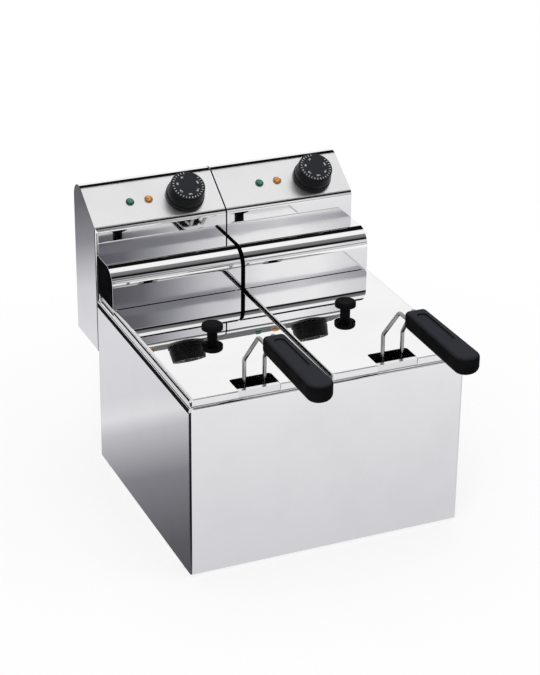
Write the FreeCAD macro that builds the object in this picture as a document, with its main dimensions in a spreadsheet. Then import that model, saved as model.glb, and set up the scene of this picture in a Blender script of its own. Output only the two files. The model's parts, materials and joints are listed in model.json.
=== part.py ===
"""Double countertop deep fryer: one steel casing, two lift-out tanks, two lift-off control heads with their heating
elements, two wire baskets and two lids.  Millimetres, +Z up, front towards -Y, standing on Z = 0."""
import FreeCAD, Part
import math
import os
from types import SimpleNamespace

import Sketcher
from FreeCAD import Placement, Rotation, Vector

# Driving dimensions: name, value, meaning
DRIVING = (
    ("casing_width", 360, "outside width of the casing"),
    ("casing_depth", 326, "outside depth of the casing, front face to rear panel"),
    ("casing_height", 225, "height of the casing's walls"),
    ("sheet", 1, "thickness of every steel sheet"),
    ("casing_bend", 2.5, "outside radius of the casing's front corners"),
    ("fold", 1.5, "outside radius of the folds along the casing's top and the lids"),
    ("ledge", 7.5, "width of the ledge turned in at the casing's top"),
    ("base_flange", 24, "width of the flange turned in at the casing's bottom"),
    ("fit_gap", 0.3, "clearance round pieces that drop into the casing"),
    ("rail_seat", 4, "how far the centre rail reaches under each tank's rim"),
    ("rail_web", 15, "height of the centre rail's webs"),
    ("foot_height", 4, "height of the rubber feet"),
    ("foot_radius", 10, "radius of a foot at its top"),
    ("foot_taper", 1, "how much smaller a foot is at the floor"),
    ("foot_side", 11, "foot centre to the casing's side"),
    ("foot_end", 26, "foot centre to the casing's front or rear"),
    ("foot_screw", 2, "radius of the foot screws"),
    ("foot_screw_head", 4, "radius of the foot screws' heads"),
    ("foot_screw_head_height", 2, "height of the foot screws' heads"),
    ("foot_screw_length", 7, "length of the foot screws under the head"),
    ("screw_gap", 0.2, "radial clearance of a screw in its hole"),
    ("vent_length", 44, "length of a vent slot"),
    ("vent_height", 4, "height of a vent slot"),
    ("vent_pitch", 11, "distance from one vent slot to the next"),
    ("vent_spread", 150, "distance between the two columns of rear vents"),
    ("vent_floor", 46, "height of the lowest rear vent above the casing's bottom"),
    ("lids_gap", 6, "gap between the two lids"),
    ("lid_inset", 2, "lid's outside face to the casing's outside face"),
    ("lid_gap", 1.5, "height of the lid's edge above the casing's top"),
    ("lid_fit", 0.5, "clearance between the lid's edge and the tank's rim"),
    ("lid_corner", 4, "outside radius of the lid's corners"),
    ("lid_lip", 5, "depth of the lip under the lid's rear edge"),
    ("lid_rear_gap", 1.5, "clearance between the lid and the hood"),
    ("notch_width", 54, "width of the lid's notch"),
    ("notch_depth", 32, "depth of the lid's notch from its front"),
    ("notch_corner", 4, "radius of the notch's inner corners"),
    ("rim_width", 6, "width of the tank's folded rim"),
    ("rim_height", 9, "height of the tank's folded rim"),
    ("tank_depth", 150, "top of the tank's rim to the underside of its floor"),
    ("tank_corner", 28, "inside radius of the tank's upright corners"),
    ("tank_floor_bend", 12, "inside radius round the tank's floor"),
    ("heads_gap", 2, "gap between the two control heads"),
    ("head_gap", 0.5, "clearance between the casing's rear and the head"),
    ("head_depth", 84, "depth of the head's housing"),
    ("head_drop", 72, "how far the head hangs below the casing's top"),
    ("panel_rise", 98.5, "height of the panel's lower corner above the casing's top"),
    ("panel_angle", 33.5, "slope of the panel in degrees"),
    ("panel_bend", 10, "outside radius of the bend below the panel"),
    ("top_bend", 20, "outside radius of the bend above the panel"),
    ("rear_flange", 14, "width of the flange round the head's rear opening"),
    ("wire_way_height", 26, "height of the wire way from the head into the hood"),
    ("wire_way_width", 120, "width of the wire way from the head into the hood"),
    ("cover_edge", 2, "head's outline to the edge of its back cover"),
    ("cover_screw_inset", 8, "cover screw centre to the edge of the back cover"),
    ("cover_screw", 1.5, "radius of the cover screws"),
    ("cover_screw_head", 3.2, "radius of the cover screws' heads"),
    ("cover_screw_head_height", 2, "height of the cover screws' heads"),
    ("cover_screw_length", 8, "length of the cover screws under the head"),
    ("hood_reach", 56.5, "how far the hood reaches forward of the head"),
    ("hood_height", 54, "height of the hood above the element plate"),
    ("hood_nose", 24, "outside radius of the hood's nose"),
    ("end_plate", 2, "thickness of the hood's end plates"),
    ("end_plate_recess", 0.6, "depth of an end plate inside the hood's edge"),
    ("end_plate_gap", 0.1, "clearance of an end plate in the hood"),
    ("plate_edge_gap", 1, "element plate's edge to the tank's outer rim"),
    ("element_radius", 4, "radius of the heating element's tube"),
    ("element_bend", 15, "bend radius of the heating element's centre line"),
    ("element_lift", 12, "height of the element's centre line above the tank's floor"),
    ("element_side", 18, "tank's wall to the middle of the element's outer runs"),
    ("element_front", 44, "casing's front to the element's front turn"),
    ("element_leg", 28, "hood's front to the element's legs"),
    ("element_back", 46, "element's legs to its middle turn"),
    ("element_head", 22, "how far the element's ends stand above their plate"),
    ("element_hole_gap", 0.4, "radial clearance of the element in its plate"),
    ("bulb_radius", 3, "radius of a sensor bulb"),
    ("bulb_length", 90, "length of a sensor bulb"),
    ("bulb_top", 34, "element plate to the top of a sensor bulb"),
    ("bulb_half", 16, "half distance between the sensor bulbs"),
    ("capillary_radius", 1.2, "radius of a bulb's tube"),
    ("capillary_head", 18, "how far a bulb's tube stands above the plate"),
    ("control_run", 32, "panel's lower corner to the knob's centre, along the panel"),
    ("lamp_run", 35, "panel's lower corner to the lamps' centres, along the panel"),
    ("knob_side", 42.5, "knob's centre to the right of the head's centre"),
    ("green_side", -32, "green lamp's centre to the right of the head's centre"),
    ("amber_side", -6.5, "amber lamp's centre to the right of the head's centre"),
    ("knob_radius", 25.5, "radius of the knob's skirt"),
    ("knob_skirt", 4, "height of the knob's skirt"),
    ("knob_groove_radius", 23.2, "radius of the knob's groove above the skirt"),
    ("knob_groove", 1.6, "height of the knob's groove"),
    ("knob_body_radius", 24.6, "radius of the knob's body above the groove"),
    ("knob_face_radius", 22.6, "radius of the knob's face"),
    ("knob_height", 22, "height of the knob"),
    ("knob_lift", 1.5, "clearance between the knob and the panel"),
    ("knob_edge", 2, "radius round the knob's face"),
    ("knob_hollow_radius", 13, "radius of the hollow under the knob"),
    ("knob_hollow", 8, "depth of the hollow under the knob"),
    ("shaft_radius", 3, "radius of the thermostat's shaft"),
    ("shaft_gap", 0.05, "radial running clearance of shafts and buttons"),
    ("shaft_rise", 17, "how far the shaft stands out of the panel"),
    ("bush_radius", 5, "radius of the thermostat's threaded bush"),
    ("bush_rise", 5, "how far the bush stands out of the panel"),
    ("thermostat_size", 36, "width and height of the thermostat's case"),
    ("thermostat_depth", 26, "depth of the thermostat's case"),
    ("lamp_radius", 4.5, "radius of a lamp's barrel"),
    ("lamp_bezel", 5.6, "radius of a lamp's bezel"),
    ("lamp_bezel_height", 1.4, "height of a lamp's bezel"),
    ("lamp_lens", 4.4, "radius of a lamp's lens"),
    ("lamp_rise", 4, "height of a lamp's lens above the panel"),
    ("lamp_barrel", 22, "length of a lamp's barrel behind the panel"),
    ("hole_gap", 0.1, "radial clearance of barrels and bushes in their holes"),
    ("terminal_width", 46, "width of the terminal block"),
    ("terminal_depth", 20, "depth of the terminal block"),
    ("terminal_height", 18, "height of the terminal block"),
    ("terminal_hole", 3, "radius of the terminal block's screw wells"),
    ("under_row", 44, "head's front to the gland, button and terminals underneath"),
    ("gland_side", 46, "gland's centre to the right of the head's centre"),
    ("gland_radius", 11, "radius of the gland's dome"),
    ("gland_neck", 8, "radius of the gland's threaded neck"),
    ("gland_bore", 4.5, "radius of the gland's bore"),
    ("gland_drop", 20, "length of the gland below the head"),
    ("gland_nut", 6, "height of the gland's nut inside the head"),
    ("limiter_side", -50, "reset button's centre to the right of the head's centre"),
    ("limiter_radius", 14, "radius of the safety thermostat's case"),
    ("limiter_height", 20, "height of the safety thermostat's case"),
    ("limiter_collar", 7, "radius of the collar round the reset button"),
    ("limiter_collar_height", 5, "height of the collar round the reset button"),
    ("button_radius", 3, "radius of the reset button"),
    ("button_rise", 4.5, "how far the reset button stands out of its collar"),
    ("button_bore", 16, "depth of the reset button's bore above the head's floor"),
    ("button_travel", 3, "travel of the reset button"),
    ("basket_side", 10, "tank's wall to the basket's side"),
    ("basket_front", 22, "casing's front to the basket's front"),
    ("basket_rear", 10, "hood's front to the basket's rear"),
    ("basket_lift", 0.5, "clearance between the element and the basket's floor"),
    ("mesh_wire", 2, "thickness of the basket's mesh"),
    ("basket_rim_drop", 13, "top of the tank's rim to the middle of the basket's rim wire"),
    ("rim_wire", 2.5, "radius of the basket's rim and handle wires"),
    ("rim_corner", 12, "radius of the rim wire's corners"),
    ("handle_gap", 0.15, "clearance between the handle's wire and the basket"),
    ("handle_half", 13, "half distance between the handle's upright wires"),
    ("handle_grip_half", 9, "half distance between the wires in the grip"),
    ("handle_foot", 88, "top of the tank's rim to the handle's lower bar"),
    ("handle_upright", 32, "height of the handle's upright wires above the tank's rim"),
    ("handle_bend", 9, "bend radius of the handle's wire"),
    ("handle_rise", 74, "height of the grip's middle above the tank's rim"),
    ("handle_knee", 13, "casing's front forward to the handle's upper bend"),
    ("grip_start", 33, "casing's front forward to the grip's rear end"),
    ("grip_length", 142, "length of the grip"),
    ("grip_rear_width", 28, "width of the grip at its rear end"),
    ("grip_front_width", 32, "width of the grip at its front end"),
    ("grip_height", 24, "height of the grip"),
    ("grip_nose", 15, "radius of the grip's front corners"),
    ("grip_under", 9, "radius along the grip's underside"),
    ("grip_edge", 5, "radius along the grip's top"),
    ("grip_heel", 6, "radius of the grip's rear corners"),
    ("grip_socket", 44, "depth of the wires in the grip"),
    ("thumb_start", 14, "grip's rear end to its thumb recess"),
    ("thumb_length", 78, "length of the thumb recess"),
    ("thumb_width", 13, "width of the thumb recess"),
    ("thumb_depth", 1.8, "depth of the thumb recess"),
    ("lid_knob_back", 150, "lid's front edge to its knob"),
    ("lid_knob_radius", 13.5, "radius of the lid knob's cap"),
    ("lid_knob_stem", 6.5, "radius of the lid knob's stem"),
    ("lid_knob_height", 18, "height of the lid knob"),
    ("lid_knob_cap", 7, "thickness of the lid knob's cap"),
    ("lid_knob_crown", 3, "radius round the cap's top edge"),
    ("lid_screw", 2, "radius of the lid knob's screw"),
    ("lid_screw_head", 4, "radius of the lid knob's screw head"),
    ("lid_screw_head_height", 2.4, "height of the lid knob's screw head"),
    ("lid_screw_grip", 8, "how far the screw reaches into the lid knob"),
)


class Size:
    """A length that is both a number and the expression on the sheet that gives it."""

    def __init__(self, value, text):
        self.value = float(value)
        self.text = text

    def __add__(self, other):
        other = as_size(other)
        return Size(self.value + other.value, f"({self.text} + {other.text})")

    def __sub__(self, other):
        other = as_size(other)
        return Size(self.value - other.value, f"({self.text} - {other.text})")

    def __mul__(self, other):
        other = as_size(other)
        return Size(self.value * other.value, f"({self.text} * {other.text})")

    def __truediv__(self, other):
        other = as_size(other)
        return Size(self.value / other.value, f"({self.text} / {other.text})")

    def __neg__(self):
        return Size(-self.value, f"(-{self.text})")

    def __radd__(self, other):
        return as_size(other) + self

    def __rsub__(self, other):
        return as_size(other) - self

    def __rmul__(self, other):
        return as_size(other) * self


def as_size(number):
    return number if isinstance(number, Size) else Size(number, repr(float(number)))


def trig(name, angle):
    """The named function of an angle given in degrees."""
    value = getattr(math, name)(math.radians(angle.value))
    return Size(value, f"{name}({angle.text} * 1 deg)")


doc = FreeCAD.newDocument("double_fryer")
sheet = doc.addObject("Spreadsheet::Sheet", "Sizes")
for row, (alias, number, meaning) in enumerate(DRIVING, start=1):
    sheet.set(f"A{row}", alias)
    sheet.set(f"B{row}", str(number))
    sheet.set(f"C{row}", meaning)
    sheet.setAlias(f"B{row}", alias)
doc.recompute()
d = SimpleNamespace(**{alias: Size(number, f"Sizes.{alias}") for alias, number, meaning in DRIVING})

# Heights and depths that several pieces share
HALF_WIDTH = d.casing_width / 2
CASING_BOTTOM = d.foot_height
CASING_TOP = CASING_BOTTOM + d.casing_height
RIM_TOP = CASING_TOP + d.rim_height
TANK_FLOOR = RIM_TOP - d.tank_depth + d.sheet
LID_TOP = RIM_TOP + d.sheet
LID_BOTTOM = CASING_TOP + d.lid_gap
PLATE_TOP = RIM_TOP + d.sheet
HOOD_TOP = PLATE_TOP + d.hood_height
HEAD_BOTTOM = CASING_TOP - d.head_drop
PANEL_CORNER = CASING_TOP + d.panel_rise
GRIP_REACH = d.grip_start + d.grip_length
REAR_REACH = d.casing_depth + d.head_gap + d.head_depth + d.sheet + d.cover_screw_head_height
FRONT = (GRIP_REACH - REAR_REACH) / 2
REAR = FRONT + d.casing_depth
HEAD_FRONT = REAR + d.head_gap
HEAD_REAR = HEAD_FRONT + d.head_depth
HOOD_FRONT = HEAD_FRONT - d.hood_reach
RIM_SETBACK = d.lid_inset + d.sheet + d.lid_fit
LID_HALF = (HALF_WIDTH - d.lid_inset - d.lids_gap / 2) / 2
UNIT_CENTRE = d.lids_gap / 2 + LID_HALF
HEAD_HALF = UNIT_CENTRE - d.heads_gap / 2
RIM_HALF = LID_HALF - d.sheet - d.lid_fit
TANK_HALF = RIM_HALF - d.rim_width
RAIL_HALF = UNIT_CENTRE - RIM_HALF + d.rail_seat
LEG_PLACE = HOOD_FRONT + d.element_leg
ELEMENT_HALF = TANK_HALF - d.element_side
RIM_FRONT = FRONT + RIM_SETBACK
RIM_REAR = REAR - RIM_SETBACK
SLOPE_COS = trig("cos", d.panel_angle)
SLOPE_SIN = trig("sin", d.panel_angle)
SLOPE_TAN = trig("tan", d.panel_angle)
SIDES = {"left": -UNIT_CENTRE, "right": UNIT_CENTRE}

nodes = []


def bind(thing, prop, size):
    thing.setExpression(prop, as_size(size).text)


def keep(thing, label):
    """Gives a finished sub-part the name of its node."""
    thing.Label = label
    nodes.append(thing)
    return thing


def new_body(label):
    body = doc.addObject("PartDesign::Body", label)
    body.AllowCompound = True
    return body


def place(thing, x=0, y=0, z=0, turn=None):
    """Moves a sub-part to its seat, tilted about X where a turn is given."""
    for axis, size in (("x", x), ("y", y), ("z", z)):
        bind(thing, f"Placement.Base.{axis}", size)
    if turn is not None:
        bind(thing, "Placement.Rotation.Axis.x", 1)
        bind(thing, "Placement.Rotation.Axis.z", 0)
        bind(thing, "Placement.Rotation.Angle", turn)


def new_sketch(body, plane, name, offset=0):
    """A sketch on one of the body's origin planes, moved along that plane's normal."""
    sketch = body.newObject("Sketcher::SketchObject", name)
    origin = next(item for item in body.Origin.OriginFeatures if item.Role == plane)
    sketch.AttachmentSupport = [(origin, "")]
    sketch.MapMode = "FlatFace"
    bind(sketch, "AttachmentOffset.Base.z", offset)
    return sketch


def pin_point(sketch, geometry, position, x, y):
    """Ties a sketch point to its sheet sizes."""
    for kind, size in (("DistanceX", as_size(x)), ("DistanceY", as_size(y))):
        index = sketch.addConstraint(Sketcher.Constraint(kind, -1, 1, geometry, position, size.value))
        sketch.setExpression(f"Constraints[{index}]", size.text)


def corner_arc(before, here, after, radius):
    """The arc that rounds one corner, and whether it runs clockwise."""
    inward = (before - here).normalize()
    outward = (after - here).normalize()
    half_angle = inward.getAngle(outward) / 2
    reach = radius / math.tan(half_angle)
    start, end = here + inward * reach, here + outward * reach
    centre = here + (inward + outward).normalize() * (radius / math.sin(half_angle))
    clockwise = inward.cross(outward).z > 0
    first, last = (end, start) if clockwise else (start, end)
    angles = [math.atan2(point.y - centre.y, point.x - centre.x) for point in (first, last)]
    arc = Part.ArcOfCircle(Part.Circle(centre, Vector(0, 0, 1), radius), *angles)
    return arc, start, end, clockwise


def outline(sketch, corners):
    """A closed outline through corners (x, y) or, where a corner is rounded, (x, y, radius)."""
    points = [Vector(as_size(corner[0]).value, as_size(corner[1]).value, 0) for corner in corners]
    count = len(corners)
    starts, ends, arcs = list(points), list(points), {}
    for i, corner in enumerate(corners):
        if len(corner) == 3:
            radius = as_size(corner[2])
            arc, ends[i], starts[i], clockwise = corner_arc(points[i - 1], points[i], points[(i + 1) % count],
                                                            radius.value)
            arcs[i] = (sketch.addGeometry(arc), clockwise, radius)
    lines = [sketch.addGeometry(Part.LineSegment(starts[i], ends[(i + 1) % count])) for i in range(count)]
    for i, corner in enumerate(corners):
        if i not in arcs:
            sketch.addConstraint(Sketcher.Constraint("Coincident", lines[i - 1], 2, lines[i], 1))
            pin_point(sketch, lines[i], 1, corner[0], corner[1])
            continue
        arc, clockwise, radius = arcs[i]
        first, last = (2, 1) if clockwise else (1, 2)
        sketch.addConstraint(Sketcher.Constraint("Tangent", lines[i - 1], 2, arc, first))
        sketch.addConstraint(Sketcher.Constraint("Tangent", arc, last, lines[i], 1))
        index = sketch.addConstraint(Sketcher.Constraint("Radius", arc, radius.value))
        sketch.setExpression(f"Constraints[{index}]", radius.text)
        point = sketch.addGeometry(Part.Point(points[i]), True)
        pin_point(sketch, point, 1, corner[0], corner[1])
        sketch.addConstraint(Sketcher.Constraint("PointOnObject", point, 1, lines[i - 1]))
        sketch.addConstraint(Sketcher.Constraint("PointOnObject", point, 1, lines[i]))


def rectangle(sketch, x_low, y_low, x_high, y_high, radius=None):
    corners = [(x_low, y_low), (x_high, y_low), (x_high, y_high), (x_low, y_high)]
    outline(sketch, corners if radius is None else [corner + (radius,) for corner in corners])


def circle(sketch, x, y, radius):
    radius = as_size(radius)
    centre = Vector(as_size(x).value, as_size(y).value, 0)
    index = sketch.addGeometry(Part.Circle(centre, Vector(0, 0, 1), radius.value))
    pin_point(sketch, index, 3, x, y)
    constraint = sketch.addConstraint(Sketcher.Constraint("Radius", index, radius.value))
    sketch.setExpression(f"Constraints[{constraint}]", radius.text)


def pad(body, sketch, length, both_ways=False, backwards=False):
    feature = body.newObject("PartDesign::Pad", sketch.Name + "_pad")
    feature.Profile = sketch
    feature.SideType = "Symmetric" if both_ways else "One side"
    feature.Reversed = backwards
    bind(feature, "Length", length)
    return feature


def pocket(body, sketch, length, both_ways=False, backwards=False):
    """Cuts against the sketch's normal, or along it when backwards; it has to take material away."""
    doc.recompute()
    before = body.Shape.Volume
    feature = body.newObject("PartDesign::Pocket", sketch.Name + "_cut")
    feature.Profile = sketch
    feature.SideType = "Symmetric" if both_ways else "One side"
    feature.Reversed = backwards
    bind(feature, "Length", length)
    doc.recompute()
    if feature.Shape.Volume >= before:
        raise RuntimeError(f"{feature.Name} cuts nothing")
    return feature


def fillet(body, radius, chosen):
    """Rounds the edges of the body's last feature for which chosen(edge) is true."""
    doc.recompute()
    base = body.Tip
    names = [f"Edge{i}" for i, edge in enumerate(base.Shape.Edges, start=1) if chosen(edge)]
    if not names:
        raise RuntimeError(f"{body.Name} has no edge to round")
    feature = body.newObject("PartDesign::Fillet", body.Name + "_round")
    feature.Base = (base, names)
    bind(feature, "Radius", radius)
    return feature


def on_level(size):
    """Chooses edges that lie flat at one height."""
    return lambda edge: abs(edge.BoundBox.ZMin - size.value) < 1e-4 and abs(edge.BoundBox.ZMax - size.value) < 1e-4


def turned(label, corners):
    """A body of revolution about Z from its half outline (radius, height)."""
    body = new_body(label)
    profile = new_sketch(body, "XZ_Plane", label + "_profile")
    outline(profile, corners)
    feature = body.newObject("PartDesign::Revolution", label + "_turn")
    feature.Profile = profile
    feature.ReferenceAxis = (profile, ["V_Axis"])
    feature.Angle = 360
    return body


def repeat(body, feature, along, length, count, also=None):
    """Repeats a feature along a sketch axis, and along a second one for a grid."""
    sketch = feature.Profile[0]
    pattern = body.newObject("PartDesign::LinearPattern", feature.Name + "_row")
    pattern.Originals = [feature]
    pattern.Direction = (sketch, [along])
    pattern.Mode = "Extent"
    bind(pattern, "Length", length)
    pattern.Occurrences = count
    if also is not None:
        second_length, second_count = also
        pattern.Direction2 = (sketch, ["V_Axis"])
        pattern.Mode2 = "Extent"
        bind(pattern, "Length2", second_length)
        pattern.Occurrences2 = second_count
    body.Tip = pattern
    return pattern


def bent_wire(label, points, radius, bend, closed=False):
    """A round wire swept along straight runs joined by tangent arcs."""
    route = [Vector(*(as_size(value).value for value in point)) for point in points]
    count = len(route)
    rounded = {}
    for i, here in enumerate(route):
        inward = (route[i - 1] - here).normalize()
        outward = (route[(i + 1) % count] - here).normalize()
        half_angle = inward.getAngle(outward) / 2
        at_end = i in (0, count - 1) and not closed
        if at_end or half_angle > math.radians(89.9):
            continue
        reach = bend.value / math.tan(half_angle)
        middle = (inward + outward).normalize() * (bend.value / math.sin(half_angle) - bend.value)
        rounded[i] = (here + inward * reach, here + middle, here + outward * reach)
    edges = []
    for i in range(count if closed else count - 1):
        start = rounded[i][2] if i in rounded else route[i]
        following = (i + 1) % count
        end = rounded[following][0] if following in rounded else route[following]
        edges.append(Part.LineSegment(start, end).toShape())
        if following in rounded:
            edges.append(Part.Arc(*rounded[following]).toShape())
    spine = doc.addObject("Part::Feature", label + "_route")
    spine.Shape = Part.Wire(edges)
    section = doc.addObject("Part::Circle", label + "_section")
    bind(section, "Radius", radius)
    first = edges[0].Vertexes[0].Point
    heading = edges[0].Vertexes[1].Point - first
    section.Placement = Placement(first, Rotation(Vector(0, 0, 1), heading))
    wire = doc.addObject("Part::Sweep", label)
    wire.Sections = [section]
    wire.Spine = (spine, [f"Edge{i}" for i in range(1, len(edges) + 1)])
    wire.Solid = True
    wire.Frenet = False
    return wire


def make_casing_shell():
    body = new_body("casing_shell")
    plan = new_sketch(body, "XY_Plane", "casing_plan", CASING_BOTTOM)
    outline(plan, [(-HALF_WIDTH, FRONT, d.casing_bend), (HALF_WIDTH, FRONT, d.casing_bend),
                   (HALF_WIDTH, REAR), (-HALF_WIDTH, REAR)])
    pad(body, plan, d.casing_height)
    fillet(body, d.fold, lambda edge: on_level(CASING_TOP)(edge) and edge.BoundBox.YMin < FRONT.value + 10)
    inside = new_sketch(body, "XY_Plane", "casing_inside", CASING_BOTTOM + d.sheet)
    inner_bend = d.casing_bend - d.sheet
    inner_half = HALF_WIDTH - d.sheet
    outline(inside, [(-inner_half, FRONT + d.sheet, inner_bend), (inner_half, FRONT + d.sheet, inner_bend),
                     (inner_half, REAR), (-inner_half, REAR)])
    pocket(body, inside, d.casing_height - 2 * d.sheet, backwards=True)
    for name, height, width in (("top", CASING_TOP, d.ledge), ("bottom", CASING_BOTTOM + d.sheet, d.base_flange)):
        opening = new_sketch(body, "XY_Plane", f"casing_{name}_opening", height)
        rectangle(opening, -(HALF_WIDTH - width), FRONT + width, HALF_WIDTH - width, REAR)
        pocket(body, opening, d.sheet)
    holes = new_sketch(body, "XY_Plane", "casing_foot_holes", CASING_BOTTOM + d.sheet)
    for x, y in foot_places():
        circle(holes, x, y, d.foot_screw + d.screw_gap)
    pocket(body, holes, d.sheet)
    keep(body, "casing_shell")


def foot_places():
    across = HALF_WIDTH - d.foot_side
    return [(x, y) for x in (-across, across) for y in (FRONT + d.foot_end, REAR - d.foot_end)]


def make_rear_panel():
    body = new_body("rear_panel")
    inner_half = HALF_WIDTH - d.sheet
    face = new_sketch(body, "XZ_Plane", "rear_face", -REAR)
    rectangle(face, -inner_half, CASING_BOTTOM + d.sheet, inner_half, CASING_TOP - d.sheet)
    pad(body, face, d.sheet)
    top = new_sketch(body, "XY_Plane", "rear_ledge", CASING_TOP)
    rectangle(top, -(HALF_WIDTH - d.ledge), REAR - d.ledge, HALF_WIDTH - d.ledge, REAR)
    pad(body, top, d.sheet, backwards=True)
    for name, side in (("left", -1), ("right", 1)):
        slot = new_sketch(body, "XZ_Plane", f"rear_vent_{name}", -REAR)
        middle = side * d.vent_spread / 2
        low = CASING_BOTTOM + d.vent_floor
        rectangle(slot, middle - d.vent_length / 2, low, middle + d.vent_length / 2, low + d.vent_height,
                  d.vent_height * 0.49)
        row = pocket(body, slot, d.sheet, backwards=True)
        repeat(body, row, "V_Axis", 4 * d.vent_pitch, 5)
    keep(body, "rear_panel")


def make_base_plate():
    body = new_body("base_plate")
    inner_half = HALF_WIDTH - d.sheet - d.fit_gap
    plan = new_sketch(body, "XY_Plane", "base_plan", CASING_BOTTOM + d.sheet)
    rectangle(plan, -inner_half, FRONT + d.sheet + d.casing_bend, inner_half, REAR - d.sheet - d.fit_gap)
    pad(body, plan, d.sheet)
    holes = new_sketch(body, "XY_Plane", "base_foot_holes", CASING_BOTTOM + 2 * d.sheet)
    for x, y in foot_places():
        circle(holes, x, y, d.foot_screw + d.screw_gap)
    pocket(body, holes, d.sheet)
    slot = new_sketch(body, "XY_Plane", "base_vent", CASING_BOTTOM + 2 * d.sheet)
    middle = (FRONT + REAR) / 2 - 2 * d.vent_pitch
    rectangle(slot, -d.vent_length / 2, middle - d.vent_height / 2, d.vent_length / 2, middle + d.vent_height / 2,
              d.vent_height * 0.49)
    row = pocket(body, slot, d.sheet)
    repeat(body, row, "V_Axis", 4 * d.vent_pitch, 5)
    keep(body, "base_plate")


def make_centre_rail():
    body = new_body("centre_rail")
    top = new_sketch(body, "XY_Plane", "rail_top", CASING_TOP)
    rectangle(top, -RAIL_HALF, FRONT + d.ledge, RAIL_HALF, REAR - d.ledge)
    pad(body, top, d.sheet, backwards=True)
    webs = new_sketch(body, "XY_Plane", "rail_webs", CASING_TOP - d.sheet)
    for inner, outer in ((-RAIL_HALF, d.sheet - RAIL_HALF), (RAIL_HALF - d.sheet, RAIL_HALF)):
        rectangle(webs, inner, FRONT + d.sheet, outer, REAR - d.sheet)
    pad(body, webs, d.rail_web, backwards=True)
    keep(body, "centre_rail")


def make_feet():
    body = new_body("feet")
    pads = new_sketch(body, "XY_Plane", "foot_plan", CASING_BOTTOM)
    for x, y in foot_places():
        circle(pads, x, y, d.foot_radius)
    blocks = pad(body, pads, d.foot_height, backwards=True)
    taper = Size(math.degrees(math.atan2(d.foot_taper.value, d.foot_height.value)),
                 f"-atan({d.foot_taper.text} / {d.foot_height.text})")
    blocks.setExpression("TaperAngle", taper.text)
    for name, radius, depth in (("wells", d.foot_screw_head + d.screw_gap, d.foot_screw_head_height + d.sheet / 2),
                                ("holes", d.foot_screw + d.screw_gap, d.foot_height)):
        holes = new_sketch(body, "XY_Plane", f"foot_{name}")
        for x, y in foot_places():
            circle(holes, x, y, radius)
        pocket(body, holes, depth, backwards=True)
    keep(body, "feet")
    screws = new_body("foot_screws")
    seat = d.foot_screw_head_height + d.sheet / 2
    for name, radius, low, length in (
            ("heads", d.foot_screw_head, d.sheet / 2, d.foot_screw_head_height),
            ("shanks", d.foot_screw, seat, d.foot_screw_length)):
        plan = new_sketch(screws, "XY_Plane", f"foot_screw_{name}", low)
        for x, y in foot_places():
            circle(plan, x, y, radius)
        pad(screws, plan, length)
    keep(screws, "foot_screws")


def make_tank(side, centre):
    body = new_body(f"tank_{side}")
    block = new_sketch(body, "XY_Plane", f"tank_rim_{side}", CASING_TOP)
    rectangle(block, -RIM_HALF, RIM_FRONT, RIM_HALF, RIM_REAR, d.lid_corner - d.sheet)
    pad(body, block, d.rim_height)
    under = new_sketch(body, "XY_Plane", f"tank_rim_under_{side}", CASING_TOP)
    hem = d.sheet
    rectangle(under, hem - RIM_HALF, RIM_FRONT + hem, RIM_HALF - hem, RIM_REAR - hem, d.lid_corner - 2 * d.sheet)
    pocket(body, under, d.rim_height - d.sheet, backwards=True)
    inner = d.rim_width
    outer = d.rim_width - d.sheet
    walls = new_sketch(body, "XY_Plane", f"tank_walls_{side}", RIM_TOP)
    rectangle(walls, outer - RIM_HALF, RIM_FRONT + outer, RIM_HALF - outer, RIM_REAR - outer,
              d.tank_corner + d.sheet)
    pad(body, walls, d.tank_depth, backwards=True)
    well = new_sketch(body, "XY_Plane", f"tank_well_{side}", RIM_TOP)
    rectangle(well, inner - RIM_HALF, RIM_FRONT + inner, RIM_HALF - inner, RIM_REAR - inner, d.tank_corner)
    pocket(body, well, d.tank_depth - d.sheet)
    fillet(body, d.tank_floor_bend, on_level(TANK_FLOOR))
    fillet(body, d.tank_floor_bend + d.sheet, on_level(TANK_FLOOR - d.sheet))
    place(body, x=centre)
    keep(body, f"tank_{side}")


def cover_screw_places():
    """Cover screw centres (x, z) inside the back cover's corners."""
    across = HEAD_HALF - d.cover_edge - d.cover_screw_inset
    low = HEAD_BOTTOM + d.cover_edge + d.cover_screw_inset
    return [(x, z) for x in (-across, across) for z in (low, cover_top() - d.cover_screw_inset)]


def cover_top():
    """The back cover ends where the head's top bend begins."""
    apex = PANEL_CORNER + d.head_depth * SLOPE_TAN
    tangent = d.top_bend * trig("tan", (90 + d.panel_angle) / 2)
    return apex - tangent


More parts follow.
